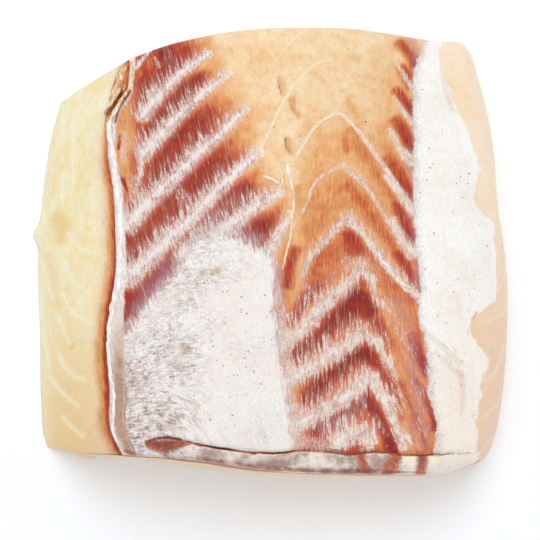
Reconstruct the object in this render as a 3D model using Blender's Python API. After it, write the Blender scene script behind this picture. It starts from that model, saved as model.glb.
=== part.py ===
"""A thick block of shark loin, cut across the fish and laid skin side up.

X runs across the fish, Y along it towards the tail, and Z up. The block stands on its flat
underside, with the origin at the middle of its foot. It is one solid: a box whose six faces are
divided and then moulded onto the outlines below. All sizes are in millimetres, and MM turns them
into Blender's metres.
"""

import bmesh
import bpy
import numpy as np

MM = 0.001

# Length of the block along the fish, over which its outlines are spread.
LOIN_LENGTH = 140.0

# Outline of the flat foot: X by Y at the two sides, Y by X at the two ends.
FOOT_LEFT = [
    (-62, -71.5), (-58, -73.5), (-44, -75.4), (-24, -76.2), (3, -77.4), (25, -76.4), (45, -73.8),
    (62, -69.6),
]
FOOT_RIGHT = [
    (-66, 66.0), (-60, 70.0), (-52, 72.6), (-40, 74.6), (-22, 76.2), (-4, 76.4), (8, 75.2), (18, 73.4),
    (30, 73.2), (45, 72.2), (66, 67.8),
]
FOOT_FRONT = [
    (-77, -58.0), (-65, -60.2), (-40, -63.0), (-13, -66.4), (20, -68.0), (48, -67.0), (60, -64.6),
    (68, -61.0), (78, -53.0),
]
FOOT_BACK = [
    (-77, 53.0), (-69, 57.4), (-57, 60.4), (-45, 63.4), (-28, 67.0), (-6, 70.0), (25, 71.0), (50, 69.0),
    (62, 69.0), (78, 65.0),
]

# Outline of the skin side: the crest over the cut face, the shoulder over the flank, and the two ends.
CREST_LEFT = [
    (-64, -48.0), (-56, -50.6), (-40, -53.6), (-26, -53.8), (-8, -52.0), (6, -51.0), (18, -52.3),
    (34, -53.6), (45, -52.4), (54, -50.4), (62, -48.0),
]
SHOULDER_RIGHT = [
    (-70, 62.5), (-60, 66.0), (-44, 69.0), (-20, 71.0), (5, 71.5), (25, 70.0), (45, 66.5), (68, 62.0),
]
END_FRONT = [
    (-54, -62.6), (-45, -64.4), (-30, -65.4), (-18, -66.8), (-1, -69.0), (22, -70.0), (43, -70.1),
    (52, -69.9), (59, -67.6), (65, -63.6), (72, -58.0),
]
END_BACK = [
    (-54, 57.5), (-45, 61.4), (-28, 67.0), (-6, 70.7), (10, 71.2), (26, 71.0), (45, 69.0), (52, 68.4),
    (61, 69.4), (72, 66.0),
]

# Height of the skin side across the fish, and how much thinner it is at the two ends.
SECTION = [
    (-58, 38.5), (-50, 40.5), (-38, 42.6), (-20, 44.1), (2, 44.5), (22, 44.0), (40, 42.0), (52, 38.8),
    (61, 34.0), (68, 27.5), (74, 20.0),
]
END_TAPER = [(-72, -1.6), (-50, -0.4), (-15, 0.0), (25, -0.6), (60, -2.6), (72, -3.6)]

# How round the block's long edges are: the reach of the rounding and its drop.
FRONT_ROUND = (7.0, 5.0)
BACK_ROUND = (5.0, 2.6)
CREST_ROUND = (3.4, 1.9)

# How far the cut face, the flank and the two ends belly out, and how that fades at their corners.
FLANK_CURVE = 1.7
CUT_FACE_BULGE = 1.3
FLANK_BULGE = 1.6
END_BULGE = 0.9
BULGE_REACH = 8
CORNER_FADE = 0.3
CORNER_LEAST = 0.4

# The cut edge of the fascia along the crest, rolled over above a thin band of dark muscle.
ROLL_EDGE = [
    (-64, -46.0), (-57, -49.2), (-45, -49.8), (-32, -50.8), (-18, -49.8), (-8, -48.4), (4, -48.7),
    (17, -49.5), (34, -51.6), (42, -50.2), (49, -46.1), (55, -45.2), (62, -44.8),
]
ROLL_WIDTH = [
    (-64, 4.6), (-45, 5.6), (-28, 5.4), (-12, 4.0), (10, 3.5), (32, 2.8), (45, 2.2), (62, 1.8),
]
ROLL_HEIGHT = 0.9
BAND_DEPTH = 1.3
BAND_SOFTNESS = 0.7
CREVICE_DEPTH = 0.9
CREVICE_PLACE = 0.5
CREVICE_HALF_WIDTH = 0.7
TEAR_DEPTH = 2.2
TEAR_PLACE = 1.6
TEAR_HALF_WIDTH = 1.3
TEAR_MIDDLE = 47.0
TEAR_REACH = 11.0
GROOVE_DEPTH = 0.6
GROOVE_PLACE = 0.9
GROOVE_HALF_WIDTH = 0.8
GROOVE_START = (22, 34)

# The knife slit across the front end, and the strip of fascia that folds down below it.
SLIT = [
    (-38, -60.2), (-33, -59.4), (-23, -61.4), (-13, -63.2), (-1, -64.2), (12, -63.4), (24, -64.6),
    (32, -63.8), (43, -64.6), (54, -64.0), (65, -62.6),
]
SLIT_DEPTH = 2.2
SLIT_HALF_WIDTH = 0.55
SLIT_ENDS = (-36.0, 58.0)
SLIT_FADE = 4.0
STRIP_DROP = 0.9
STRIP_SOFTNESS = 1.2
STRIP_LINE = [(-30, -64.4), (-20, -65.7), (-7, -68.2), (6, -69.0), (60, -69.2)]
STRIP_LINE_DEPTH = 0.8
STRIP_LINE_HALF_WIDTH = 0.6

# The two sheets of white fascia that lie on the muscle.
FASCIA_EDGE = [
    (-66, 49.7), (-55, 50.4), (-46, 48.0), (-38, 48.2), (-29, 46.8), (-20, 44.8), (-14, 46.0),
    (-3, 44.7), (20, 44.2), (40, 44.6), (52, 44.5), (66, 48.0),
]
FASCIA_FLANK_EDGE = [
    (-62, 63.4), (-40, 65.6), (-31, 66.8), (-29, 64.5), (-25, 62.4), (-20, 64.3), (-16, 69.6),
    (-5, 72.5), (6, 71.5), (10, 71.2), (13, 67.2), (28, 66.0), (42, 61.0), (56, 55.1), (68, 54.0),
]
FASCIA_THICKNESS = 0.8
FASCIA_EDGE_SOFTNESS = (-1.2, 0.8)
FASCIA_FLANK_SOFTNESS = (-0.4, 0.8)
PATCH_TOP = [(-45, -27.0), (-37, -17.3), (-28, -5.4), (-22, 2.5), (-12, 2.4), (0, -4.0), (8, -12.0)]
PATCH_SIDE = [(-66, 6.4), (-52, 5.2), (-40, 3.4), (-26, 1.5), (-5, 0.6), (6, 0.0)]
PATCH_THICKNESS = 0.5
PATCH_TOP_SOFTNESS = (-1.0, 5.0)
PATCH_SIDE_SOFTNESS = (-0.8, 1.2)
PATCH_START = (-46, -40)

# Small eye-shaped holes where nerves and vessels left the muscle: place, half length, half width.
PITS = [(3.8, 50.5, 2.4, 0.9), (7.8, 45.6, 3.0, 1.2), (5.6, 32.1, 2.2, 0.8)]
PIT_LEAN = -0.35
PIT_DEPTH = 1.2

# Scraps of flesh that hang out at the foot: place along the edge, reach and half width.
CUT_FACE_SCRAP = (11.5, 2.1, 3.4)
FRONT_SCRAP = (-60.5, 1.8, 3.6)

# Unevenness that the knife leaves on every face: wavelength in X and Y, and height.
WAVES = [(61.0, 83.0, 0.35), (37.0, 29.0, 0.22), (19.0, 23.0, 0.12)]
WAVE_PHASE = 1.7

# Faces of the box along X, Y and Z, and how many of them lie near the crest and near the slit.
FACES = (58, 52, 7)
CREST_SPACING = ([0.0, 0.24, 1.0], [0.0, 0.08, 1.0])
SLIT_SPACING = ([0.0, 0.2, 1.0], [0.0, 0.075, 1.0])

FLESH = (0.86, 0.62, 0.47, 1.0)


def through(points, at):
    """A smooth curve through named points, read at any place along it."""
    places, values = (np.array(side, float) for side in zip(*points))
    slopes = np.gradient(values, places)
    at = np.clip(at, places[0], places[-1])
    left = np.clip(np.searchsorted(places, at) - 1, 0, len(places) - 2)
    span = places[left + 1] - places[left]
    t = (at - places[left]) / span
    start = (2 * t**3 - 3 * t**2 + 1) * values[left] + (t**3 - 2 * t**2 + t) * span * slopes[left]
    end = (3 * t**2 - 2 * t**3) * values[left + 1] + (t**3 - t**2) * span * slopes[left + 1]
    return start + end


def step(value, start, end):
    """Rises smoothly from 0 at start to 1 at end."""
    t = np.clip((value - start) / (end - start), 0, 1)
    return t * t * (3 - 2 * t)


def ridge(distance, half_width):
    """A smooth ridge, 1 on its line and near 0 past its half width."""
    return np.exp(-((distance / half_width) ** 2))


def rounding(distance, size):
    """How far an edge falls away, as a quarter of an ellipse, at a distance in from it."""
    reach, drop = size
    inward = np.clip(distance / reach, 0, 1)
    return drop * (1 - np.sqrt(1 - (1 - inward) ** 2))


def plan(a, b, left, right, front, back):
    """The place on the ground of a box coordinate, between two side and two end outlines."""
    y = -0.5 * LOIN_LENGTH + LOIN_LENGTH * b
    x = through(left, y) * (1 - a) + through(right, y) * a
    y = through(front, x) * (1 - b) + through(back, x) * b
    x = through(left, y) * (1 - a) + through(right, y) * a
    return x, y


def roll_relief(x, y):
    """The band of muscle under the crest, the crevice over it and the fascia's rolled edge."""
    inside = x - through(ROLL_EDGE, y)
    width = through(ROLL_WIDTH, y)
    band = -BAND_DEPTH * step(-inside, 0.0, BAND_SOFTNESS)
    crevice = -CREVICE_DEPTH * ridge(inside + CREVICE_PLACE, CREVICE_HALF_WIDTH)
    tear = -TEAR_DEPTH * ridge(inside + TEAR_PLACE, TEAR_HALF_WIDTH) * ridge(y - TEAR_MIDDLE, TEAR_REACH)
    roll = ROLL_HEIGHT * np.sqrt(np.sin(np.pi * np.clip(inside / width, 0, 1)))
    groove = -GROOVE_DEPTH * ridge(inside - width + GROOVE_PLACE, GROOVE_HALF_WIDTH)
    groove = groove * step(-y, *GROOVE_START)
    return band + crevice + tear + roll + groove


def slit_relief(x, y):
    """The slit, and the strip below it, which lies lower and has a line of its own."""
    below = through(SLIT, x) - y
    first, last = SLIT_ENDS
    along = step(x, first - 0.5 * SLIT_FADE, first + SLIT_FADE)
    along = along * (1 - step(x, last - SLIT_FADE, last + SLIT_FADE))
    slit = -SLIT_DEPTH * ridge(below, SLIT_HALF_WIDTH)
    strip = -STRIP_DROP * step(below, 0.0, STRIP_SOFTNESS)
    line = -STRIP_LINE_DEPTH * ridge(through(STRIP_LINE, x) - y, STRIP_LINE_HALF_WIDTH)
    return along * (slit + strip + line)


def fascia_relief(x, y):
    """The two sheets of fascia, a little proud of the muscle."""
    over = step(x - through(FASCIA_EDGE, y), *FASCIA_EDGE_SOFTNESS)
    flank = step(through(FASCIA_FLANK_EDGE, y) - x, *FASCIA_FLANK_SOFTNESS)
    sheet = FASCIA_THICKNESS * over * flank
    top = step(through(PATCH_TOP, x) - y, *PATCH_TOP_SOFTNESS)
    side = step(through(PATCH_SIDE, y) - x, *PATCH_SIDE_SOFTNESS)
    patch = PATCH_THICKNESS * top * side * step(x, *PATCH_START)
    return sheet + patch


def pit_relief(x, y):
    """The eye-shaped holes in the middle of the skin side."""
    hollow = 0
    for pit_x, pit_y, half_length, half_width in PITS:
        across = (x - pit_x) - PIT_LEAN * (y - pit_y)
        hollow = hollow - PIT_DEPTH * ridge(across, half_width) * ridge(y - pit_y, half_length)
    return hollow


def waves(x, y):
    """Low, broad unevenness."""
    height = 0
    for number, (length_x, length_y, size) in enumerate(WAVES):
        phase = WAVE_PHASE * number
        swell = np.sin(2 * np.pi * x / length_x + phase) * np.cos(2 * np.pi * y / length_y - phase)
        height = height + size * swell
    return height


def skin_height(x, y):
    """Height of the skin side over the flat foot."""
    height = through(SECTION, x) + through(END_TAPER, y)
    height = height - rounding(y - through(END_FRONT, x), FRONT_ROUND)
    height = height - rounding(through(END_BACK, x) - y, BACK_ROUND)
    height = height - rounding(x - through(CREST_LEFT, y), CREST_ROUND)
    relief = roll_relief(x, y) + slit_relief(x, y) + fascia_relief(x, y) + pit_relief(x, y)
    return height + relief + waves(x, y)


def mould(a, b, c):
    """Turns box coordinates, 0 to 1 from left, front and bottom, into places in millimetres."""
    top_x, top_y = plan(a, b, CREST_LEFT, SHOULDER_RIGHT, END_FRONT, END_BACK)
    foot_x, foot_y = plan(a, b, FOOT_LEFT, FOOT_RIGHT, FOOT_FRONT, FOOT_BACK)
    lean = c * (1 - a) + c**FLANK_CURVE * a
    belly = np.sin(np.pi * c)
    at_flank, at_cut_face = a**BULGE_REACH, (1 - a) ** BULGE_REACH
    at_back, at_front = b**BULGE_REACH, (1 - b) ** BULGE_REACH
    corner = CORNER_LEAST + (1 - CORNER_LEAST) * (4 * a * (1 - a)) ** CORNER_FADE
    x = foot_x + (top_x - foot_x) * lean
    bulge = FLANK_BULGE * at_flank - CUT_FACE_BULGE * at_cut_face
    x = x + belly * bulge * (4 * b * (1 - b)) ** CORNER_FADE
    y = foot_y + (top_y - foot_y) * c
    y = y + belly * END_BULGE * (at_back - at_front) * corner
    z = c * skin_height(top_x, top_y)
    foot = (1 - c) ** 2
    place, reach, half_width = CUT_FACE_SCRAP
    x = x - reach * ridge(y - place, half_width) * at_cut_face * foot
    place, reach, half_width = FRONT_SCRAP
    y = y - reach * ridge(x - place, half_width) * at_front * foot
    return x, y, z


def divided_box():
    """A box of one unit, divided into FACES along X, Y and Z, with a plain bottom."""
    box = bmesh.new()
    bmesh.ops.create_cube(box, size=1.0)
    for axis, count in enumerate(FACES):
        edges = [edge for edge in box.edges if abs((edge.verts[0].co - edge.verts[1].co)[axis]) > 0.5]
        bmesh.ops.subdivide_edges(box, edges=edges, cuts=count - 1, use_grid_fill=True)
    return box


def fillet_mesh():
    """The moulded block, closed by a bottom of few triangles."""
    box = divided_box()
    places = np.array([vertex.co[:] for vertex in box.verts]) + 0.5
    a = np.interp(places[:, 0], *CREST_SPACING)
    b = np.interp(places[:, 1], *SLIT_SPACING)
    moulded = np.stack(mould(a, b, places[:, 2]), axis=1) * MM
    middle = 0.5 * (moulded.min(axis=0) + moulded.max(axis=0))
    moulded -= middle * (1, 1, 0)
    bottom = [face for face in box.faces if face.normal.z < -0.5]
    for vertex, place in zip(box.verts, moulded):
        vertex.co = place
    bmesh.ops.dissolve_faces(box, faces=bottom, use_verts=False)
    bmesh.ops.triangulate(box, faces=box.faces[:], quad_method="SHORT_EDGE", ngon_method="BEAUTY")
    bmesh.ops.recalc_face_normals(box, faces=box.faces[:])
    mesh = bpy.data.meshes.new("fillet")
    box.to_mesh(mesh)
    box.free()
    mesh.shade_smooth()
    return mesh


def flesh_material():
    """Raw shark flesh: pale orange, wet."""
    material = bpy.data.materials.new("raw_shark_flesh")
    material.use_nodes = True
    shader = material.node_tree.nodes["Principled BSDF"]
    shader.inputs["Base Color"].default_value = FLESH
    shader.inputs["Roughness"].default_value = 0.35
    shader.inputs["Metallic"].default_value = 0.0
    return material


def main():
    for item in list(bpy.data.objects):
        bpy.data.objects.remove(item, do_unlink=True)
    collection = bpy.data.collections.new("shark_fillet")
    bpy.context.scene.collection.children.link(collection)
    mesh = fillet_mesh()
    mesh.materials.append(flesh_material())
    collection.objects.link(bpy.data.objects.new("fillet", mesh))


main()
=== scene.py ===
"""Looks of a block of raw shark loin: red muscle between white septa, and fascia over it."""

import math
from types import SimpleNamespace

import bpy
import numpy as np
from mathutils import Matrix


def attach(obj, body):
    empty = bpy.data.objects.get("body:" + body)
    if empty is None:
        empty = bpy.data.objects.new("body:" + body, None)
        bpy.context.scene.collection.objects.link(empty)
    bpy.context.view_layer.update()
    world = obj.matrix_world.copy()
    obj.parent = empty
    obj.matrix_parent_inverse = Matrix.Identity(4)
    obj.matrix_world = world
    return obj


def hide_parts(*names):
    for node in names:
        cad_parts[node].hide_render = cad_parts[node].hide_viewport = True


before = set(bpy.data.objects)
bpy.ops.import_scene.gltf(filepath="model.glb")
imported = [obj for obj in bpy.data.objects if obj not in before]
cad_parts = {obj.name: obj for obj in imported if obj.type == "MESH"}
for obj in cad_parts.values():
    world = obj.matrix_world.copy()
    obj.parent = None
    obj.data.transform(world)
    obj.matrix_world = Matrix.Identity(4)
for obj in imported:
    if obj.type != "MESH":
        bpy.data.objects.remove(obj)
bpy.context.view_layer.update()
CAD_NODE = "fillet"
BODY = "root"

bl_info = {
    "name": "Shark loin block",
    "version": (1, 0, 0),
    "blender": (4, 5, 0),
    "location": "View3D > Sidebar > Loin",
    "description": "Dresses the packed block of shark loin and sets its stage",
    "category": "Object",
}

MM = 0.001

# Driving sizes of the block in millimetres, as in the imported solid. Lines along the block give X for
# each Y, and lines across it give Y for each X.
LOIN_LENGTH = 140.0

# Outlines of the foot and of the skin side, the height across the block, and how it falls along it.
FOOT_LEFT = [
    (-62, -71.5), (-58, -73.5), (-44, -75.4), (-24, -76.2), (3, -77.4), (25, -76.4), (45, -73.8),
    (62, -69.6),
]
FOOT_RIGHT = [
    (-66, 66.0), (-60, 70.0), (-52, 72.6), (-40, 74.6), (-22, 76.2), (-4, 76.4), (8, 75.2), (18, 73.4),
    (30, 73.2), (45, 72.2), (66, 67.8),
]
FOOT_FRONT = [
    (-77, -58.0), (-65, -60.2), (-40, -63.0), (-13, -66.4), (20, -68.0), (48, -67.0), (60, -64.6),
    (68, -61.0), (78, -53.0),
]
FOOT_BACK = [
    (-77, 53.0), (-69, 57.4), (-57, 60.4), (-45, 63.4), (-28, 67.0), (-6, 70.0), (25, 71.0), (50, 69.0),
    (62, 69.0), (78, 65.0),
]
CREST_LEFT = [
    (-64, -48.0), (-56, -50.6), (-40, -53.6), (-26, -53.8), (-8, -52.0), (6, -51.0), (18, -52.3),
    (34, -53.6), (45, -52.4), (54, -50.4), (62, -48.0),
]
SHOULDER_RIGHT = [
    (-70, 62.5), (-60, 66.0), (-44, 69.0), (-20, 71.0), (5, 71.5), (25, 70.0), (45, 66.5), (68, 62.0),
]
END_FRONT = [
    (-54, -62.6), (-45, -64.4), (-30, -65.4), (-18, -66.8), (-1, -69.0), (22, -70.0), (43, -70.1),
    (52, -69.9), (59, -67.6), (65, -63.6), (72, -58.0),
]
END_BACK = [
    (-54, 57.5), (-45, 61.4), (-28, 67.0), (-6, 70.7), (10, 71.2), (26, 71.0), (45, 69.0), (52, 68.4),
    (61, 69.4), (72, 66.0),
]
SECTION = [
    (-58, 38.5), (-50, 40.5), (-38, 42.6), (-20, 44.1), (2, 44.5), (22, 44.0), (40, 42.0), (52, 38.8),
    (61, 34.0), (68, 27.5), (74, 20.0),
]
END_TAPER = [(-72, -1.6), (-50, -0.4), (-15, 0.0), (25, -0.6), (60, -2.6), (72, -3.6)]

# Rounded edges: how far in they reach and how far they drop. How far the sides bulge.
FRONT_ROUND = (7.0, 5.0)
BACK_ROUND = (5.0, 2.6)
CREST_ROUND = (3.4, 1.9)
FLANK_CURVE = 1.7
CUT_FACE_BULGE = 1.3
FLANK_BULGE = 1.6
END_BULGE = 0.9

# The fascia's rolled edge over the crest, the torn place at its back and the groove in it.
ROLL_EDGE = [
    (-64, -46.0), (-57, -49.2), (-45, -49.8), (-32, -50.8), (-18, -49.8), (-8, -48.4), (4, -48.7),
    (17, -49.5), (34, -51.6), (42, -50.2), (49, -46.1), (55, -45.2), (62, -44.8),
]
ROLL_WIDTH = [
    (-64, 4.6), (-45, 5.6), (-28, 5.4), (-12, 4.0), (10, 3.5), (32, 2.8), (45, 2.2), (62, 1.8),
]
ROLL_HEIGHT = 0.9
BAND_DEPTH = 1.3
CREVICE_DEPTH = 0.9
TEAR_DEPTH = 2.2
TEAR_MIDDLE = 47.0
TEAR_REACH = 11.0
GROOVE_DEPTH = 0.6

# The slit along the front, and the strip in front of it with a line of its own.
SLIT = [
    (-38, -60.2), (-33, -59.4), (-23, -61.4), (-13, -63.2), (-1, -64.2), (12, -63.4), (24, -64.6),
    (32, -63.8), (43, -64.6), (54, -64.0), (65, -62.6),
]
SLIT_DEPTH = 1.4
SLIT_HALF_WIDTH = 0.55
SLIT_ENDS = (-36.0, 58.0)
STRIP_DROP = 0.9
STRIP_LINE = [(-30, -64.4), (-20, -65.7), (-7, -68.2), (6, -69.0), (60, -69.2)]
STRIP_LINE_DEPTH = 0.8

# The flank's fascia, from its edge on the muscle to its edge on the flank, and the loose skin.
FASCIA_EDGE = [
    (-66, 49.7), (-55, 50.4), (-46, 48.0), (-38, 48.2), (-29, 46.8), (-20, 44.8), (-14, 46.0),
    (-3, 44.7), (20, 44.2), (40, 44.6), (52, 44.5), (66, 48.0),
]
FASCIA_FLANK_EDGE = [
    (-62, 63.4), (-40, 65.6), (-31, 66.8), (-29, 64.5), (-25, 62.4), (-20, 64.3), (-16, 69.6),
    (-5, 72.5), (6, 71.5), (10, 71.2), (13, 67.2), (28, 66.0), (42, 61.0), (56, 55.1), (68, 54.0),
]
FASCIA_THICKNESS = 0.8
PATCH_TOP = [(-45, -27.0), (-37, -17.3), (-28, -5.4), (-22, 2.5), (-12, 2.4), (0, -4.0), (8, -12.0)]
PATCH_SIDE = [(-66, 6.4), (-52, 5.2), (-40, 3.4), (-26, 1.5), (-5, 0.6), (6, 0.0)]
PATCH_THICKNESS = 0.5

# Pits in the middle: X, Y, half length and half width.
PITS = [(3.8, 50.5, 2.4, 0.9), (7.8, 45.6, 3.0, 1.2), (5.6, 32.1, 2.2, 0.8)]
PIT_LEAN = -0.35
PIT_DEPTH = 1.2

# Scraps that stick out: place, reach and half width. Low waves: lengths along X and Y, and height.
CUT_FACE_SCRAP = (11.5, 2.1, 3.4)
FRONT_SCRAP = (-60.5, 1.8, 3.6)
WAVES = [(61.0, 83.0, 0.35), (37.0, 29.0, 0.22), (19.0, 23.0, 0.12)]
WAVE_SHIFT = 1.7

# Relief of the dressed block: how far septa, creases and folds stand up, and the creases' pitch.
SEPTUM_HEIGHT = 0.2
CREASE_HEIGHT = 0.1
CREASE_PITCH = 3.1
FOLD_HEIGHT = 0.35
# Where the creases nest, where the loose skin ends before the slit, and the flank's pale lines.
CREASE_CENTRE_Y = -73.0
LOOSE_SKIN_END = -24.0
FLANK_LINES_FROM = 55.0
FLANK_LINE_PITCH = 13.0
# The rings of muscle on the end faces: their middle in X and Z, and how far apart they lie.
RING_MIDDLE = (8.0, -16.0)
RING_SPACING = 6.5

# The fine mesh: places along X, Y and Z, and how many of them lie near the crest and near the slit.
FINE_PLACES = (236, 204, 56)
CREST_SPACING = ([0.0, 0.16, 1.0], [0.0, 0.08, 1.0])
SLIT_SPACING = ([0.0, 0.14, 1.0], [0.0, 0.075, 1.0])

# Drawn lines: places by X and Y in millimetres, half widths at the two ends, strengths at the two ends.
# White septa between the muscle bands, left of the seam.
LEFT_SEPTA = [
    (
        [(-41, 41.5), (-37, 46.5), (-33, 51), (-29, 55), (-24.5, 58.5), (-19.5, 62)],
        (2.7, 1.5),
        (0.95, 0.9),
    ),
    ([(-40.5, 29), (-31, 39.5), (-21.5, 48.5), (-13, 55.5)], (2.6, 1.3), (1.0, 0.9)),
    ([(-45, 6), (-37, 15), (-27, 25), (-17, 34.5), (-8, 43.5)], (3.0, 1.5), (1.0, 1.0)),
    ([(-45, -11), (-34.5, -1), (-24, 9.5), (-13.5, 20.5), (-3.5, 29.5)], (3.2, 1.6), (1.0, 1.0)),
    ([(-28, -3), (-16, 4), (-6, 11), (2.5, 16.5)], (3.4, 1.8), (1.0, 1.0)),
    ([(-1.5, -4), (2, 2.5), (4.5, 6.5), (5.5, 10)], (2.0, 0.8), (1.0, 1.0)),
    ([(-42.5, 17), (-41, 22), (-40.5, 28)], (1.2, 1.2), (0.6, 0.8)),
    ([(-43, 57.5), (-40.5, 61), (-38.5, 64)], (0.9, 0.7), (0.8, 0.7)),
    ([(-37, 61), (-35.5, 57.5)], (0.35, 0.35), (0.9, 0.9)),
]
# Chevron septa right of the seam, each leg drawn from its apex.
RIGHT_SEPTA = [
    ([(22, 25), (30, 17.5), (36.5, 7), (44, -3)], (1.0, 0.7), (0.8, 0.5)),
    ([(22, 25), (14, 20), (10, 11), (6.5, 5)], (0.8, 0.6), (0.45, 0.3)),
    ([(23.2, 8.4), (28.4, 3.2), (33.8, -4.2), (39, -10.2), (45, -15.4)], (1.4, 1.2), (0.85, 0.95)),
    ([(23.2, 8.4), (18, 2.4), (12.6, -3.2), (9.2, -10)], (1.3, 1.5), (0.75, 0.6)),
    ([(27.6, -7.2), (22.4, -13.4), (16.4, -18.4), (10.4, -25.4), (3.6, -31)], (2.2, 2.8), (0.75, 0.95)),
    ([(27.6, -7.2), (30.8, -11.2), (32.8, -17.2), (35.8, -20.4)], (2.2, 1.5), (0.7, 0.3)),
    ([(28.2, -27.8), (22.2, -31.8), (17, -35.4), (11, -39), (4.4, -42.6)], (2.3, 2.8), (0.95, 0.95)),
    ([(28.2, -27.8), (32, -30.4), (34.8, -35.2), (38.6, -41.2)], (2.2, 1.5), (0.85, 0.4)),
    ([(30, -41), (26, -44.5), (20.5, -49), (14, -52.4), (5.6, -56.8)], (2.4, 2.6), (0.95, 0.95)),
    ([(30, -41), (33.6, -46.8), (36.2, -52.4), (38.8, -58.4), (40, -62.8)], (2.0, 1.4), (0.95, 0.8)),
    ([(19.2, -61.4), (22.4, -59), (26.2, -57.4), (30, -61)], (3.0, 2.6), (0.95, 0.85)),
]
# Hair-thin septa in the pale muscle of the middle.
THIN_SEPTA = [
    ([(9.5, 69.5), (4.5, 63.5), (0.5, 58.5)], (0.45, 0.4), (0.7, 0.5)),
    (
        [(-6, 26.5), (-2, 33), (4.5, 47.5), (12.5, 57), (18.5, 59.5), (24, 54.5), (27.5, 50)],
        (0.5, 0.4),
        (0.9, 0.5),
    ),
    ([(8, 28.5), (14, 38), (20.5, 42), (24, 40), (27, 36.5)], (0.5, 0.6), (0.9, 0.9)),
    ([(27, 36.5), (35.5, 24.5), (43.5, 12.5)], (0.75, 0.8), (0.9, 1.0)),
]
# Lilac-white septa between the dark lenses beside the flank fascia.
LENS_SEPTA = [
    ([(39, 60), (42, 55), (45, 50)], (0.7, 1.0), (0.5, 0.8)),
    ([(38.5, 48), (41.5, 43), (44.5, 39.5)], (0.7, 1.1), (0.6, 0.9)),
    ([(37, 37), (40, 31), (44, 26.5)], (0.8, 1.6), (0.7, 0.95)),
    ([(35.5, 22), (40, 16.5), (44, 11)], (0.8, 1.6), (0.7, 0.95)),
    ([(37.6, 8), (40.8, 1.4), (44, -2.4)], (0.8, 1.6), (0.7, 0.95)),
]
# Red muscle: bands left of the seam.
LEFT_MUSCLE = [
    ([(-39.5, 48), (-36, 54), (-32, 59.5), (-27, 63.5), (-21.5, 65.5)], (2.2, 1.8), (0.78, 0.9)),
    ([(-38.5, 36), (-33.5, 42), (-28.5, 47.5), (-23.5, 52.5), (-20, 57)], (2.6, 2.4), (0.95, 0.85)),
    (
        [(-37.5, 18), (-33.5, 24.5), (-28, 31), (-24, 36), (-20, 40.5), (-17, 44)],
        (2.8, 2.4),
        (0.9, 0.8),
    ),
    (
        [(-44, -5), (-41, 0.5), (-36, 6), (-30.5, 10.5), (-25, 16), (-20, 21.5), (-15, 26.5)],
        (2.6, 2.6),
        (0.9, 0.85),
    ),
    ([(-21, 5), (-15.5, 9.5), (-10, 14.5), (-7, 19)], (2.6, 2.4), (0.95, 0.85)),
    ([(-8, 1.5), (-3.5, 5), (0, 7.5), (2.5, 11)], (3.0, 2.4), (0.97, 0.85)),
    ([(-43, -20), (-41, -15), (-36.5, -10.5), (-32, -6.5), (-28.4, -3)], (2.8, 3.0), (0.95, 0.9)),
]
# Slivers of red muscle under the crest.
SLIVERS = [
    ([(-47.4, 35.4), (-48, 31.4)], (0.7, 0.5), (0.9, 0.8)),
    ([(-47.6, 22.4), (-45.4, 18.6)], (0.6, 0.5), (0.85, 0.8)),
    ([(-46.2, 21.4), (-44.6, 16.4)], (0.5, 0.4), (0.8, 0.8)),
]
# The legs of the chevrons right of the seam, and the spots between them.
RIGHT_MUSCLE = [
    ([(24, 36.5), (28, 30), (34.5, 20), (38, 14.5)], (3.8, 2.6), (0.4, 0.52)),
    ([(23.5, 19), (28, 13.5), (34.5, 4), (39.5, -3.5)], (3.4, 2.6), (0.5, 0.55)),
    ([(23.5, 19), (18, 14), (14, 9)], (2.8, 2.2), (0.46, 0.42)),
    ([(24, 46), (27, 41)], (2.6, 2.0), (0.3, 0.3)),
    ([(23, 33.5), (23, 29.5)], (2.6, 2.4), (0.48, 0.48)),
    ([(-12, 33), (-4, 42)], (5.5, 5.0), (0.24, 0.24)),
    ([(25, 3), (25.2, 0), (25.6, -3.4)], (4.6, 4.4), (0.74, 0.72)),
    ([(29, -1), (34, -7.5), (38, -13.5), (41, -19)], (2.4, 2.2), (0.56, 0.46)),
    ([(14.8, -13), (9.6, -19.2), (5.6, -25)], (3.0, 2.6), (0.84, 0.9)),
    ([(18, -9), (20, -13)], (2.4, 2.0), (0.56, 0.5)),
    (
        [(26.8, -15.4), (24.4, -20.5), (18.4, -25.8), (11.8, -31.8), (6.6, -35.6)],
        (5.2, 3.6),
        (0.97, 0.92),
    ),
    ([(27.6, -16.6), (31.2, -22.6), (34.2, -28.6), (36.4, -33.2)], (4.2, 2.8), (0.94, 0.68)),
    ([(28.2, -34), (22.2, -38.4), (16.2, -42.6), (10.6, -49)], (4.0, 3.8), (0.97, 0.92)),
    ([(28.2, -33.8), (32, -37.4), (35.6, -42.6), (37.6, -48), (39.6, -53.6)], (3.8, 2.6), (0.94, 0.76)),
    ([(13.6, -58), (16.4, -56.2), (22.4, -53.4), (28.2, -48)], (2.6, 3.4), (0.88, 0.94)),
    ([(28.2, -47.6), (30.2, -49.4), (34, -55.6), (37.6, -63.4)], (3.2, 3.0), (0.95, 0.9)),
    ([(39.2, -42), (41.6, -45.8), (43.6, -51.6), (46, -58.4), (47.2, -62.8)], (2.2, 2.2), (0.6, 0.66)),
    ([(7.4, -2), (6, -6.8), (4.6, -13)], (2.5, 2.6), (0.7, 0.76)),
]
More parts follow.
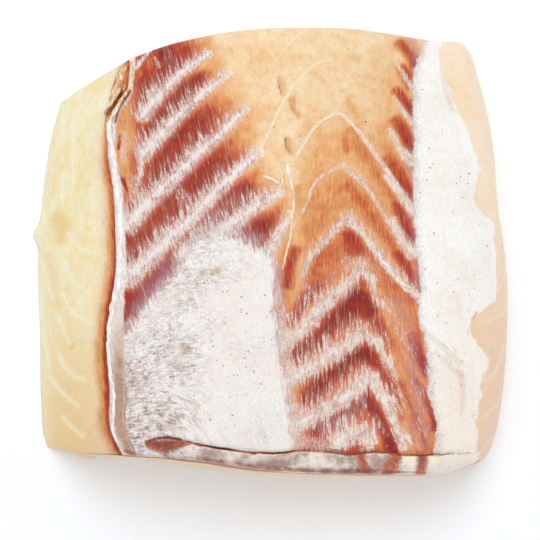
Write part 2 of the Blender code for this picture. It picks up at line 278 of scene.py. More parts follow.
# Dark lenses beside the flank fascia.
DARK_LENSES = [
    ([(41, 66), (44, 63), (45.4, 59)], (2.0, 1.9), (0.6, 0.74)),
    ([(41.6, 57.6), (43.2, 55), (44.4, 51.5)], (2.0, 2.0), (0.66, 0.84)),
    ([(39.6, 50), (42, 46.5), (44.4, 41)], (2.2, 2.4), (0.62, 0.86)),
    ([(38.4, 40.5), (41.2, 36), (44, 28.5)], (2.6, 2.2), (0.6, 0.9)),
    ([(36.6, 28), (40.5, 21.5), (44.4, 13)], (3.0, 2.2), (0.6, 0.92)),
    ([(38.6, 13), (41, 7.6), (43.4, 2.2)], (3.0, 2.5), (0.68, 0.93)),
    ([(38.6, -2.4), (41.6, -8.4), (44.8, -15.4)], (2.9, 2.6), (0.74, 0.95)),
    ([(43.4, -28), (45.6, -34), (48, -39.4)], (2.6, 2.3), (0.7, 0.94)),
    ([(44, -41.8), (47, -47.6), (49, -53.6), (50, -56.4)], (1.9, 1.9), (0.62, 0.86)),
]
# Thin fascia that lies over red muscle and turns it purple.
VEILS = [
    ([(-33, 60), (-29, 56)], (2.2, 2.2), (0.5, 0.4)),
    ([(-24, 7), (-16, 9), (-10, 14)], (3.4, 2.8), (0.8, 0.5)),
    ([(-10, 0), (-4, 3)], (3.2, 2.4), (0.9, 0.6)),
    ([(-42, -20), (-38, -14), (-30, -4)], (2.2, 2.4), (0.7, 0.6)),
    ([(15, -57), (22, -54), (27.5, -49)], (2.4, 2.6), (0.6, 0.6)),
    ([(45, 62), (45, 30), (45, -10), (48, -26)], (1.4, 1.6), (0.5, 0.8)),
    ([(44, 28), (45, 24)], (2.0, 2.0), (1.0, 1.0)),
    ([(43.5, 2), (45, -2)], (1.8, 1.8), (0.9, 0.9)),
    ([(49, -38), (50.4, -44), (51.4, -52)], (2.0, 2.4), (0.9, 0.7)),
    ([(1.5, -6), (3, -16), (3.5, -26)], (1.2, 1.4), (0.8, 0.6)),
    ([(44.4, 67.6), (46, 64), (45.6, 61.2)], (1.6, 1.4), (0.8, 0.8)),
    ([(39, -17), (42, -26), (44, -38), (45.5, -50), (46.5, -62)], (2.6, 3.2), (0.5, 0.6)),
]
# Fine white frost of torn fibres on the muscle.
FROST = [
    (
        [(1.4, -13), (2.8, -19.8), (3.6, -27.2), (4.4, -34.8), (4.6, -43.8), (5.6, -52), (8, -62)],
        (1.3, 3.0),
        (0.85, 0.9),
    ),
    ([(37.6, 8), (40.8, 1.2), (43.6, -2.4)], (1.8, 2.2), (0.8, 0.9)),
    ([(36, 22), (40, 16.5), (44, 11)], (1.2, 1.6), (0.6, 0.9)),
    ([(45.5, -16), (48, -25.2), (49, -37.4), (51, -48)], (1.3, 2.0), (0.8, 0.8)),
    ([(23, -6), (27.6, -5.6), (31, -11)], (2.2, 2.2), (0.6, 0.6)),
    ([(32.8, -16.4), (35.8, -20.4), (40.4, -28.4), (42.4, -34.4)], (2.4, 2.8), (0.55, 0.5)),
    ([(34, -36), (38.6, -44), (41.4, -52)], (1.6, 1.8), (0.5, 0.5)),
    ([(39, -24), (42, -34), (44, -44), (46, -58)], (2.6, 2.6), (0.42, 0.42)),
    ([(19, -61.5), (23, -59.5), (27, -58.5), (30.5, -61)], (3.2, 3.0), (0.95, 0.95)),
    ([(8, -60), (12, -61.5), (18, -62.5)], (2.4, 2.4), (0.7, 0.8)),
    ([(9, -12), (13, -15), (19, -17)], (2.4, 2.0), (0.5, 0.55)),
    (
        [(-44, -26.5), (-35.4, -17.5), (-27, -7), (-20, 1), (-12, 3), (-4, -2.4), (1, -7)],
        (2.4, 2.0),
        (0.8, 0.8),
    ),
    ([(-46.6, 36), (-46.4, 27)], (1.2, 1.0), (0.8, 0.7)),
    ([(-43.5, 22), (-42.5, 12)], (1.6, 1.8), (0.6, 0.7)),
    ([(-32.5, 19.6), (-26.5, 15)], (2.0, 2.0), (0.6, 0.6)),
]
# Golden fat and amber stains on the muscle and on the cut face.
GOLD = [
    ([(-47, 57), (-49, 50), (-51, 44)], (1.8, 1.6), (0.6, 0.6)),
    ([(-45, 42), (-44.5, 34), (-44, 26), (-44.5, 17)], (3.0, 2.6), (0.3, 0.25)),
    ([(2.6, 54), (2.9, 51), (3.8, 48)], (0.9, 0.9), (0.7, 0.7)),
    ([(6.4, 46.6), (6.9, 44), (8.6, 41)], (1.3, 1.1), (0.8, 0.7)),
    ([(4.8, 33.4), (5.4, 31), (6.2, 29)], (1.0, 1.0), (0.8, 0.8)),
    ([(3.5, 21), (4, 17)], (1.0, 1.0), (0.6, 0.6)),
    ([(8, 18), (9, 12)], (1.4, 1.8), (0.7, 0.6)),
    ([(-71.4, 15.4), (-67.6, 10.8), (-68.4, 6.8)], (3.4, 3.4), (0.75, 0.6)),
    ([(-63.2, -28.8), (-63.6, -29)], (1.1, 1.1), (1.0, 1.0)),
    ([(-74, 4), (-71.6, -5.8), (-70, -14.4)], (3.0, 3.0), (0.5, 0.45)),
    ([(-65, -20), (-64, -40), (-64, -62)], (9.0, 13.0), (0.25, 0.6)),
    ([(-53.8, -30), (-53.6, -38.2), (-52.4, -44)], (1.6, 1.6), (0.8, 0.7)),
    ([(57, 54), (60, 52.4), (63.5, 50.6)], (2.6, 3.0), (0.5, 0.6)),
    ([(-21.2, -9.2), (-19.2, -9.4), (-16.8, -8.4)], (1.5, 1.5), (0.8, 0.7)),
    ([(-26.4, -32), (-26, -33)], (1.6, 1.6), (0.8, 0.8)),
    ([(62.5, -23.6), (64.4, -27.4)], (2.4, 2.4), (0.7, 0.5)),
]
# Septa that the knife crossed on the sloping cut face.
CUT_FACE_SEPTA = [
    (
        [(-63.2, 56.4), (-62.8, 51.2), (-64.4, 46.8), (-64.8, 38.8), (-64.4, 31.8), (-64, 24.4)],
        (0.7, 0.5),
        (0.7, 1.0),
    ),
    ([(-68, 30.8), (-68, 24.6), (-68.2, 17.4)], (0.5, 0.5), (0.8, 0.8)),
    ([(-65.6, 8.2), (-63, 4.4), (-60, 1.4), (-56, -0.4)], (0.5, 0.4), (1.0, 0.7)),
    ([(-75.2, 36.4), (-76.4, 27.8), (-76.4, 21.6), (-74.8, 14.6)], (0.5, 0.5), (0.8, 0.8)),
    ([(-67.2, -0.6), (-65.2, -4.4), (-62.4, -8.8), (-58.2, -12)], (0.5, 0.45), (1.0, 0.7)),
    ([(-67.6, -10.4), (-65, -15.8), (-60.8, -20), (-55.8, -23.2)], (0.5, 0.45), (1.0, 0.7)),
    ([(-68.8, -18.4), (-66.4, -23.6), (-64, -28)], (0.5, 0.4), (1.0, 0.6)),
    ([(-68.4, -30.4), (-66.4, -34.4), (-63, -38), (-58.2, -40.4)], (0.5, 0.45), (1.0, 0.6)),
    ([(-72.4, -36.4), (-68.8, -40.8), (-65.2, -44.4), (-61, -48)], (0.5, 0.45), (0.8, 0.6)),
    ([(-66.6, -50.8), (-63.2, -54.4), (-59.2, -57.6)], (0.5, 0.4), (0.7, 0.5)),
    ([(-75.4, 1.2), (-73, -7.2), (-70.8, -12.4)], (0.5, 0.4), (0.9, 0.7)),
    ([(-76.4, -9.4), (-75.4, -21.6), (-73.4, -28), (-72.4, -34.2)], (0.5, 0.5), (0.9, 0.7)),
    ([(-54.4, -48), (-52.2, -46.4), (-50.4, -43.8)], (0.4, 0.3), (0.9, 0.8)),
]
# Red muscle that shows through the strip and through the loose skin.
HOLES = [
    ([(-37.6, -61.2), (-34.8, -61.8), (-32, -62)], (1.5, 2.4), (1, 1)),
    ([(-32, -62), (-28.8, -61.6), (-25, -61.2)], (2.4, 0.7), (1, 1)),
    ([(37.6, -62.6), (38, -65.2), (36.8, -67.6), (34.4, -72)], (1.9, 2.8), (1, 0.8)),
    ([(46, -62), (46.2, -65.6), (45.6, -71)], (1.9, 2.4), (0.95, 0.75)),
    ([(27, -64), (28, -67.2), (29.6, -71)], (1.9, 2.4), (0.7, 0.8)),
    ([(50, -63.2), (52.6, -63.4)], (0.7, 0.4), (1, 1)),
]
# Dark edges and stains of old blood, and painted shade along the left edges of the pits.
STAINS_AND_SHADE = [
    (
        [(-45, -63.2), (-41.2, -64.4), (-36.8, -65.4), (-31.6, -65.4), (-25.4, -65.4), (-20.6, -66.2)],
        (0.6, 0.5),
        (0.42, 0.36),
    ),
    (
        [(-20.6, -65.9), (-11.2, -67.4), (-0.4, -68.6), (12.6, -69.4), (32.4, -69.5)],
        (0.75, 0.95),
        (0.4, 0.5),
    ),
    ([(32.4, -69.5), (44, -69.7), (50, -69.6)], (0.8, 0.6), (0.44, 0.3)),
    ([(17.4, -63.2), (23.2, -64.2)], (0.6, 0.6), (0.4, 0.4)),
    ([(-38, -61), (-35.4, -59.9), (-31.6, -59.5), (-27.6, -60.2)], (0.5, 0.5), (0.5, 0.6)),
    # Painted shade along the left edges of the three pits.
    ([(1.9, 54.2), (2.1, 51.7), (3.2, 48)], (0.34, 0.34), (0.42, 0.46)),
    ([(5.7, 46.4), (6.1, 44.2), (7.6, 42), (8.8, 41)], (0.32, 0.32), (0.38, 0.38)),
    ([(4.2, 34), (4.6, 31.3), (5.6, 29.2)], (0.35, 0.35), (0.48, 0.44)),
    ([(13.9, 18.5), (14.6, 15), (15.8, 12.5)], (0.35, 0.3), (0.3, 0.28)),
    ([(64.3, -19.4), (62.3, -23.1), (60.8, -27.4)], (0.5, 0.35), (0.4, 0.3)),
    ([(-46, 61), (-48.4, 58.6), (-49.8, 56.4), (-50, 53.6), (-52.8, 48)], (0.8, 0.7), (0.42, 0.4)),
    (
        [(-46, 52.2), (-48.2, 49.4), (-50.4, 45.8), (-52.6, 43.2), (-53.6, 39.6)],
        (0.8, 0.6),
        (0.55, 0.45),
    ),
    ([(-44.6, 50), (-46.4, 46.8), (-48.4, 43), (-49.2, 39.6)], (0.6, 0.5), (0.5, 0.5)),
]
# Creases and ridges in the flank fascia: raised a little, with a painted shade line beside each ridge.
FOLDS = [
    ([(46.4, -26.4), (52.4, -31.2), (58.4, -36)], (0.9, 0.8), (0.5, 0.7)),
    ([(50.6, -33), (54.8, -37), (58.8, -40)], (0.9, 0.8), (0.6, 0.7)),
    ([(57.4, -13.8), (58.4, -18.8), (59, -22.2)], (0.8, 0.7), (0.4, 0.4)),
    ([(54, 65.6), (54, 60.8), (54.2, 55.8), (55.4, 50.6), (57.2, 45.2)], (0.8, 0.8), (0.6, 0.6)),
]
# A flush under the flank fascia.
PINK_LINE = [
    ([(58.6, -40), (59.2, -45.6), (58.4, -52)], (1.0, 0.8), (1.0, 0.7)),
    ([(55.5, 62), (56, 56), (57.5, 48)], (1.8, 1.8), (0.5, 0.5)),
]
# Where the red muscle of the left side turns pale, X by Y, how red it is by the distance beyond
# that line, and how red the rest is by Y.
PALE_EDGE = [(-12, 6), (4, 5), (16, 1), (24, -4), (33, -8), (45, -12), (55, -15), (63, -19), (72, -25)]
LEFT_REDNESS = [(-12.0, 0.85), (-8.0, 0.7), (-4.0, 0.48), (1.0, 0.32), (7.0, 0.1)]
PALE_REDNESS = 0.1
MIDDLE_REDNESS = [
    (-60, 0.68), (-25, 0.64), (-10, 0.54), (0, 0.48), (12, 0.42), (25, 0.32), (40, 0.2), (70, 0.09),
]
LENS_REDNESS = [(-60, 0.5), (-20, 0.46), (0, 0.44), (25, 0.38), (45, 0.28), (70, 0.16)]
# The red line under the crest: how red it is, how far down the cut face it reaches, and how far its
# glow does, by Y.
CREST_REDNESS = [(-60, 0.8), (-25, 0.8), (0, 0.76), (30, 0.72), (60, 0.62)]
CREST_REACH = [(-60, 2.4), (-25, 2.4), (0, 1.0), (30, 0.6)]
GLOW_REACH = [(-25, 4.2), (0, 3.2), (30, 2.4)]
GLOW_REDNESS = 0.54
# Zones between two places: where the right side's muscle starts, where the muscle of the lenses does,
# the paler muscle beside the roll by X and by Y, and where the loose skin starts to crease.
RIGHT_START = (0.0, 14.0)
LENS_START = (28.0, 37.0)
ROLL_SIDE = (-45.5, -38.5)
ROLL_SIDE_BACK = (8.0, 20.0)
WRINKLE_START = (4, 34)
# How strong the creases and their painted shade are by Y, and how white the septa are by X.
WRINKLES = [(-60, 1.0), (-30, 0.8), (0, 0.55)]
SEPTA_WHITENESS = [(-10, 1.0), (6, 0.82)]
# How far the fibres lean to the left for each millimetre that they run back, by X.
FIBRE_LEAN = [(-80, 0.2), (-40, 0.24), (-15, 0.2), (10, 0.04), (27, 0.02), (45, 0.2), (80, 0.2)]


def linear(code):
    """An sRGB hex colour as linear red, green, blue and alpha."""
    parts = [int(code[i : i + 2], 16) / 255 for i in (1, 3, 5)]
    return [part / 12.92 if part <= 0.04045 else ((part + 0.055) / 1.055) ** 2.4 for part in parts] + [1.0]


def through(points, at):
    """A smooth curve through named points, read at any place along it."""
    places, values = (np.array(side, float) for side in zip(*points))
    slopes = np.gradient(values, places)
    at = np.clip(at, places[0], places[-1])
    left = np.clip(np.searchsorted(places, at) - 1, 0, len(places) - 2)
    span = places[left + 1] - places[left]
    t = (at - places[left]) / span
    start = (2 * t**3 - 3 * t**2 + 1) * values[left] + (t**3 - 2 * t**2 + t) * span * slopes[left]
    end = (3 * t**2 - 2 * t**3) * values[left + 1] + (t**3 - t**2) * span * slopes[left + 1]
    return start + end


def step(value, start, end):
    """Rises smoothly from 0 at start to 1 at end."""
    t = np.clip((value - start) / (end - start), 0, 1)
    return t * t * (3 - 2 * t)


def ridge(distance, half_width):
    """A smooth ridge, 1 on its line and near 0 past its half width."""
    return np.exp(-((distance / half_width) ** 2))


def rounding(distance, size):
    """How far an edge falls away, as a quarter of an ellipse, at a distance in from it."""
    reach, drop = size
    inward = np.clip(distance / reach, 0, 1)
    return drop * (1 - np.sqrt(1 - (1 - inward) ** 2))


def uneven(x, y, cell, seed):
    """Smooth random values from -1 to 1, one lattice point for each cell of that many millimetres."""
    lattice = np.random.default_rng(seed).uniform(-1, 1, (256, 256))
    u, v = x / cell + 512.5, y / cell + 512.5
    i, j = np.floor(u).astype(int), np.floor(v).astype(int)
    s, t = u - i, v - j
    s, t = s * s * (3 - 2 * s), t * t * (3 - 2 * t)
    near = lattice[i % 256, j % 256] * (1 - s) + lattice[(i + 1) % 256, j % 256] * s
    far = lattice[i % 256, (j + 1) % 256] * (1 - s) + lattice[(i + 1) % 256, (j + 1) % 256] * s
    return near * (1 - t) + far * t


def plan(a, b, left, right, front, back):
    """The place on the ground of a box coordinate, between two side and two end outlines."""
    y = -0.5 * LOIN_LENGTH + LOIN_LENGTH * b
    x = through(left, y) * (1 - a) + through(right, y) * a
    y = through(front, x) * (1 - b) + through(back, x) * b
    x = through(left, y) * (1 - a) + through(right, y) * a
    return x, y


def roll_relief(x, y):
    """The band of muscle under the crest, the crevice over it and the fascia's rolled edge."""
    inside = x - through(ROLL_EDGE, y)
    width = through(ROLL_WIDTH, y)
    band = -BAND_DEPTH * step(-inside, 0.0, 0.7)
    crevice = -CREVICE_DEPTH * ridge(inside + 0.5, 0.7)
    tear = -TEAR_DEPTH * ridge(inside + 1.6, 1.3) * ridge(y - TEAR_MIDDLE, TEAR_REACH)
    roll = ROLL_HEIGHT * np.sqrt(np.sin(np.pi * np.clip(inside / width, 0, 1)))
    groove = -GROOVE_DEPTH * ridge(inside - width + 0.9, 0.8) * step(-y, 22, 34)
    return band + crevice + tear + roll + groove


def slit_relief(x, y):
    """The slit, and the strip below it, which lies lower and has a line of its own."""
    below = through(SLIT, x) - y
    along = step(x, SLIT_ENDS[0] - 2, SLIT_ENDS[0] + 4) * (1 - step(x, SLIT_ENDS[1] - 4, SLIT_ENDS[1] + 4))
    slit = -SLIT_DEPTH * ridge(below, SLIT_HALF_WIDTH)
    strip = -STRIP_DROP * step(below, 0.0, 1.2)
    line = -STRIP_LINE_DEPTH * ridge(through(STRIP_LINE, x) - y, 0.6)
    return along * (slit + strip + line)


def fascia_relief(x, y):
    """The two sheets of fascia, a little proud of the muscle."""
    over = step(x - through(FASCIA_EDGE, y), -1.2, 0.8)
    flank = step(through(FASCIA_FLANK_EDGE, y) - x, -0.4, 0.8)
    sheet = FASCIA_THICKNESS * over * flank
    top = step(through(PATCH_TOP, x) - y, -1.0, 5.0)
    side = step(through(PATCH_SIDE, y) - x, -0.8, 1.2)
    patch = PATCH_THICKNESS * top * side * step(x, -46, -40)
    return sheet + patch


def pit_relief(x, y):
    """The eye-shaped holes in the middle of the skin side."""
    hollow = 0
    for pit_x, pit_y, half_length, half_width in PITS:
        across = (x - pit_x) - PIT_LEAN * (y - pit_y)
        hollow = hollow - PIT_DEPTH * ridge(across, half_width) * ridge(y - pit_y, half_length)
    return hollow


def waves(x, y):
    """Low, broad unevenness."""
    height = 0
    for number, (length_x, length_y, size) in enumerate(WAVES):
        phase = WAVE_SHIFT * number
        across = np.sin(2 * np.pi * x / length_x + phase)
        height = height + size * across * np.cos(2 * np.pi * y / length_y - phase)
    return height


def skin_height(x, y):
    """Height of the skin side over the flat foot."""
    height = through(SECTION, x) + through(END_TAPER, y)
    height = height - rounding(y - through(END_FRONT, x), FRONT_ROUND)
    height = height - rounding(through(END_BACK, x) - y, BACK_ROUND)
    height = height - rounding(x - through(CREST_LEFT, y), CREST_ROUND)
    relief = roll_relief(x, y) + slit_relief(x, y) + fascia_relief(x, y) + pit_relief(x, y)
    return height + relief + waves(x, y)


def mould(a, b, c):
    """Turns box coordinates, 0 to 1 from left, front and bottom, into places in millimetres."""
    top_x, top_y = plan(a, b, CREST_LEFT, SHOULDER_RIGHT, END_FRONT, END_BACK)
    foot_x, foot_y = plan(a, b, FOOT_LEFT, FOOT_RIGHT, FOOT_FRONT, FOOT_BACK)
    lean = c * (1 - a) + c**FLANK_CURVE * a
    belly = np.sin(np.pi * c)
    corner = (4 * a * (1 - a)) ** 0.3 * 0.6 + 0.4
    x = foot_x + (top_x - foot_x) * lean
    x = x + belly * (FLANK_BULGE * a**8 - CUT_FACE_BULGE * (1 - a) ** 8) * (4 * b * (1 - b)) ** 0.3
    y = foot_y + (top_y - foot_y) * c
    y = y + belly * END_BULGE * (b**8 - (1 - b) ** 8) * corner
    z = c * skin_height(top_x, top_y)
    foot = (1 - c) ** 2
    place, reach, half_width = CUT_FACE_SCRAP
    x = x - reach * ridge(y - place, half_width) * (1 - a) ** 8 * foot
    place, reach, half_width = FRONT_SCRAP
    y = y - reach * ridge(x - place, half_width) * (1 - b) ** 8 * foot
    return x, y, z


# ---------------------------------------------------------------- drawing on the block


def smooth_path(points, count=20):
    """Places along a smooth curve through given points."""
    order = range(len(points))
    at = np.linspace(0, len(points) - 1, count)
    return [through(list(zip(order, side)), at) for side in zip(*points)]


def stroke(x, y, line):
    """Distance from a drawn line in half widths, its strength there, and the distance above it in mm."""
    points, widths, strengths = line
    path_x, path_y = smooth_path(points)
    share = np.linspace(0, 1, len(path_x))
    reach = 4 * max(widths) + 8
    near = (x > path_x.min() - reach) & (x < path_x.max() + reach)
    near &= (y > path_y.min() - reach) & (y < path_y.max() + reach)
    near_x, near_y = x[near], y[near]
    best = np.full(near_x.shape, 1e9)
    along = np.zeros(near_x.shape)
    above = np.zeros(near_x.shape)
    for i in range(len(share) - 1):
        run_x, run_y = path_x[i + 1] - path_x[i], path_y[i + 1] - path_y[i]
        length = np.hypot(run_x, run_y)
        off_x, off_y = near_x - path_x[i], near_y - path_y[i]
        t = np.clip((off_x * run_x + off_y * run_y) / length**2, 0, 1)
        distance = np.hypot(off_x - t * run_x, off_y - t * run_y)
        closer = distance < best
        best = np.where(closer, distance, best)
        along = np.where(closer, share[i] + t * (share[i + 1] - share[i]), along)
        square = np.sign(run_x) * (off_y * run_x - off_x * run_y) / length
        above = np.where(closer, square, above)
    ratio = np.full(x.shape, 9.0)
    strength = np.zeros(x.shape)
    rise = np.full(x.shape, 99.0)
    ratio[near] = best / np.interp(along, (0, 1), widths)
    overrun = np.sqrt(np.maximum(best**2 - above**2, 0))
    strength[near] = np.interp(along, (0, 1), strengths) * ridge(overrun, 2.5)
    rise[near] = above
    return ratio, strength, rise


def lines_potential(x, y, lines):
    """1 on the drawn lines, 0 at their nominal edges and below 0 away from them."""
    most = np.full(x.shape, -3.0)
    for line in lines:
        ratio, strength, _ = stroke(x, y, line)
        most = np.maximum(most, strength - ratio)
    return most


def septa(x, y, *groups):
    """1 on the septa's lines and 0 at their edges, and how raggedly they run out on that side."""
    most = np.full(x.shape, -3.0)
    ragged = np.zeros(x.shape)
    for lines, far_side, near_side in groups:
        for line in lines:
            ratio, strength, rise = stroke(x, y, line)
            upper = step(rise, -0.2, 0.6)
            slow = np.minimum(ratio, 0.8) + 0.35 * np.maximum(ratio - 0.8, 0)
            value = strength - ratio + (ratio - slow) * upper * far_side
            closer = value > most
            most = np.where(closer, value, most)
            ragged = np.where(closer, near_side + (far_side - near_side) * upper, ragged)
    return most, ragged


def wash(x, y, lines, flat=2):
    """Patches of colour round drawn lines, from 0 to 1; a higher power keeps them flat further out."""
    most = np.zeros(x.shape)
    for line in lines:
        ratio, strength, _ = stroke(x, y, line)
        most = np.maximum(most, strength * np.exp(-0.6 * ratio**flat))
    return most


def septum_shade(x, y, lines, dark_side):
    """Deeper red on one side of each septum, and paler, more orange muscle on its other side."""
    shade = np.zeros(x.shape)
    for line in lines:
        _, strength, rise = stroke(x, y, line)
        rise = dark_side * rise
        dark = 0.12 * ridge(rise - 3.2, 2.0)
        pale = 0.2 * ridge(rise + 2.2, 1.2)
        shade = shade + strength * (dark - pale)
    return np.clip(shade, -0.35, 0.2)


# ---------------------------------------------------------------- nodes


def add(tree, kind, inputs=None, out=0, stops=None, **settings):
    """Adds a node with its settings and links, and gives back one of its outputs."""
    node = tree.nodes.new(kind)
    for name, value in settings.items():
        setattr(node, name, value)
    if stops:
        ramp = node.color_ramp
        while len(ramp.elements) < len(stops):
            ramp.elements.new(0.5)
        for element, (place, code) in zip(ramp.elements, stops):
            element.position = place
            element.color = linear(code)
    for name, value in (inputs or {}).items():
        if isinstance(value, bpy.types.NodeSocket):
            tree.links.new(value, node.inputs[name])
        else:
            node.inputs[name].default_value = value
    return node if out is None else node.outputs[out]


def new_material(name, **shine):
    """A node material whose plain numbers sit on the shader's own sockets."""
    material = bpy.data.materials.new(name)
    material.use_nodes = True
    shader = material.node_tree.nodes["Principled BSDF"]
    for socket, value in shine.items():
        shader.inputs[socket.replace("_", " ")].default_value = value
    return material, material.node_tree, shader


def painted(tree, name):
    """The three channels of an attribute."""
    colour = add(tree, "ShaderNodeAttribute", out="Color", attribute_name=name)
    split = add(tree, "ShaderNodeSeparateColor", {0: colour}, out=None)
    return split.outputs


def jitter(tree, value, *noises):
    """A value moved up and down by noises that lie round 0.5, each with its own amount."""
    for noise, amount in noises:
        swing = add(tree, "ShaderNodeMath", {0: noise, 1: 0.5}, operation="SUBTRACT")
        value = add(tree, "ShaderNodeMath", {0: swing, 1: amount, 2: value}, operation="MULTIPLY_ADD")
    return value


def mask(tree, value, low, high, amount=1.0, noises=()):
    """A mask that rises smoothly from 0 to an amount between two values, its edge broken up by noises."""
    wanted = {"Value": jitter(tree, value, *noises), "From Min": low, "From Max": high, "To Max": amount}
    return add(tree, "ShaderNodeMapRange", wanted, interpolation_type="SMOOTHSTEP")


def layered(tree, ground, *layers):
    """Colours laid over a ground one after another, each where its mask is 1."""
    for cover, colour in layers:
        colour = linear(colour) if isinstance(colour, str) else colour
        ground = add(tree, "ShaderNodeMix", {0: cover, 6: ground, 7: colour}, out=2, data_type="RGBA")
    return ground


def product(tree, first, *others):
    """Several values multiplied together."""
    for other in others:
        first = add(tree, "ShaderNodeMath", {0: first, 1: other}, operation="MULTIPLY")
    return first


def noise_of(tree, place, size_mm, detail=3.0, roughness=0.6):
    """Even noise whose largest spots measure about so many millimetres."""
    wanted = {"Vector": place, "Scale": 1 / (size_mm * MM), "Detail": detail, "Roughness": roughness}
    return add(tree, "ShaderNodeTexNoise", wanted)


def fibres(tree, spacing_mm, length_mm, detail=2.0):
    """Noise drawn out along the muscle's fibres, brought to the full range from 0 to 1."""
    place = add(tree, "ShaderNodeAttribute", out="Vector", attribute_name="fibre")
    place = add(tree, "ShaderNodeMapping", {"Vector": place, "Scale": (1 / spacing_mm, 1 / length_mm, 0.0)})
    wanted = {"Vector": place, "Scale": 1.0, "Detail": detail, "Roughness": 0.55}
    noise = add(tree, "ShaderNodeTexNoise", wanted)
    return add(tree, "ShaderNodeMapRange", {"Value": noise, "From Min": 0.28, "From Max": 0.72})


def creases(tree, pitch_mm, length_mm):
    """Short creases of a loose skin, from 0 in the hollows to 1 on the ridges."""
    place = add(tree, "ShaderNodeAttribute", out="Vector", attribute_name="crease")
    place = add(tree, "ShaderNodeMapping", {"Vector": place, "Scale": (1 / pitch_mm, 1 / length_mm, 0.0)})
    wanted = {"Vector": place, "Scale": 1.0, "Detail": 1.0, "Roughness": 0.4, "Distortion": 0.9}
    noise = add(tree, "ShaderNodeTexNoise", wanted)
    return add(tree, "ShaderNodeMapRange", {"Value": noise, "From Min": 0.16, "From Max": 0.72})


def grains(tree):
    """The noises that the layers of the flesh share."""
    place = add(tree, "ShaderNodeTexCoord", out="Object")
    return SimpleNamespace(
        place=place,
        hair=fibres(tree, 0.36, 2.8),
        spikes=fibres(tree, 0.75, 6.5, 1.5),
        strands=fibres(tree, 0.55, 9.0, 1.0),
        grain=noise_of(tree, place, 0.55),
        mottle=noise_of(tree, place, 3.2),
        cloud=noise_of(tree, place, 13.0, 2.0),
        swell=noise_of(tree, place, 40.0, 0.0),
        crease=creases(tree, 1.0, 2.1),
        split=add(tree, "ShaderNodeSeparateXYZ", {0: place}, out=None).outputs,
    )


def flesh_paint(tree):
    """The painted channels of the block by name."""
    names = {
        "muscle": ("septum", "redness", "veil"),
        "skin": ("fascia", "patch", "rim"),
        "marks": ("stain", "gold", "cut_septum"),
        "place": ("cut", "under", "roll"),
        "tint": ("whiteness", "end_face", "wrinkle"),
        "frost": ("frost", "ragged", "fold"),
        "edge": ("hole", "strip", "groove"),
        "pink": ("pink", "flush"),
    }
    channels = {}
    for attribute, parts in names.items():
        channels.update(zip(parts, painted(tree, attribute)))
    return SimpleNamespace(**channels)


def muscle_colour(tree, paint, noise):
    """Muscle from cream through orange to deep red, under pale hairs, lilac haze and white septa."""
    wanted = {"Value": paint.redness, "From Min": 0.15, "From Max": 0.6, "To Min": 0.1, "To Max": 1.0}
    contrast = add(tree, "ShaderNodeMapRange", wanted)
    fine = product(tree, contrast, 0.22)
    coarse = product(tree, contrast, 0.2)
    depth = jitter(tree, paint.redness, (noise.hair, fine), (noise.spikes, coarse), (noise.grain, fine))
    depth = jitter(tree, depth, (noise.mottle, 0.26), (noise.cloud, 0.18))
    pale = [(0.0, "#fde8c6"), (0.14, "#f9d4a4"), (0.3, "#efb074"), (0.44, "#e08e53")]
    red = [(0.56, "#d0693a"), (0.68, "#bb482b"), (0.82, "#a93420"), (1.0, "#862119")]
    colour = add(tree, "ShaderNodeValToRGB", {0: depth}, stops=pale + red)
    amber = mask(tree, paint.gold, 0.15, 0.9, 0.75, [(noise.mottle, 0.4), (noise.strands, 0.3)])
    haze = mask(tree, paint.veil, 0.1, 1.0, 0.62, [(noise.hair, 0.5), (noise.mottle, 0.5)])
    near = add(tree, "ShaderNodeMapRange", {"Value": paint.septum, "From Min": -2.6, "From Max": 0.2})
    near = add(tree, "ShaderNodeMath", {0: near, 1: 0.25, 2: noise.strands}, operation="MULTIPLY_ADD")
    hairs = mask(tree, near, 0.86, 1.14, product(tree, contrast, 0.36), [(noise.mottle, 0.7)])
    colour = layered(tree, colour, (amber, "#df9950"), (haze, "#b98a92"), (hairs, "#e9bba6"))
    swing = add(tree, "ShaderNodeMath", {0: paint.ragged, 1: 0.8, 2: 0.5}, operation="MULTIPLY_ADD")
    swing = product(tree, swing, mask(tree, paint.septum, 1.1, -0.1))
    feather = jitter(tree, paint.septum, (noise.spikes, swing), (noise.hair, product(tree, swing, 0.5)))
    soft = mask(tree, feather, -1.0, 0.1, product(tree, contrast, 0.32))
    white = mask(tree, feather, -0.3, 0.34, 0.92, [(noise.grain, 0.9)])
    tone = jitter(tree, noise.mottle, (noise.hair, 0.55), (noise.grain, 0.7))
    stops = [(0.2, "#bd938b"), (0.42, "#dbbbb0"), (0.65, "#efdcd1")]
    lilac = add(tree, "ShaderNodeValToRGB", {0: tone}, stops=stops)
    cream = add(tree, "ShaderNodeValToRGB", {0: noise.mottle}, stops=[(0.3, "#f8e0bd"), (0.7, "#fdf0d8")])
    breaks = [(noise.hair, 0.6), (noise.mottle, 0.9), (paint.septum, 0.9)]
    core = mask(tree, paint.whiteness, 0.94, 1.36, 0.85, breaks)
    tissue = layered(tree, cream, (paint.whiteness, lilac), (core, "#fdf2e8"))
    breaks = [(noise.hair, 0.9), (noise.grain, 1.0), (noise.mottle, 0.5)]
    frosty = mask(tree, paint.frost, 0.3, 1.0, 0.7, breaks)
    return layered(tree, colour, (soft, "#e0a88c"), (frosty, lilac), (white, tissue))


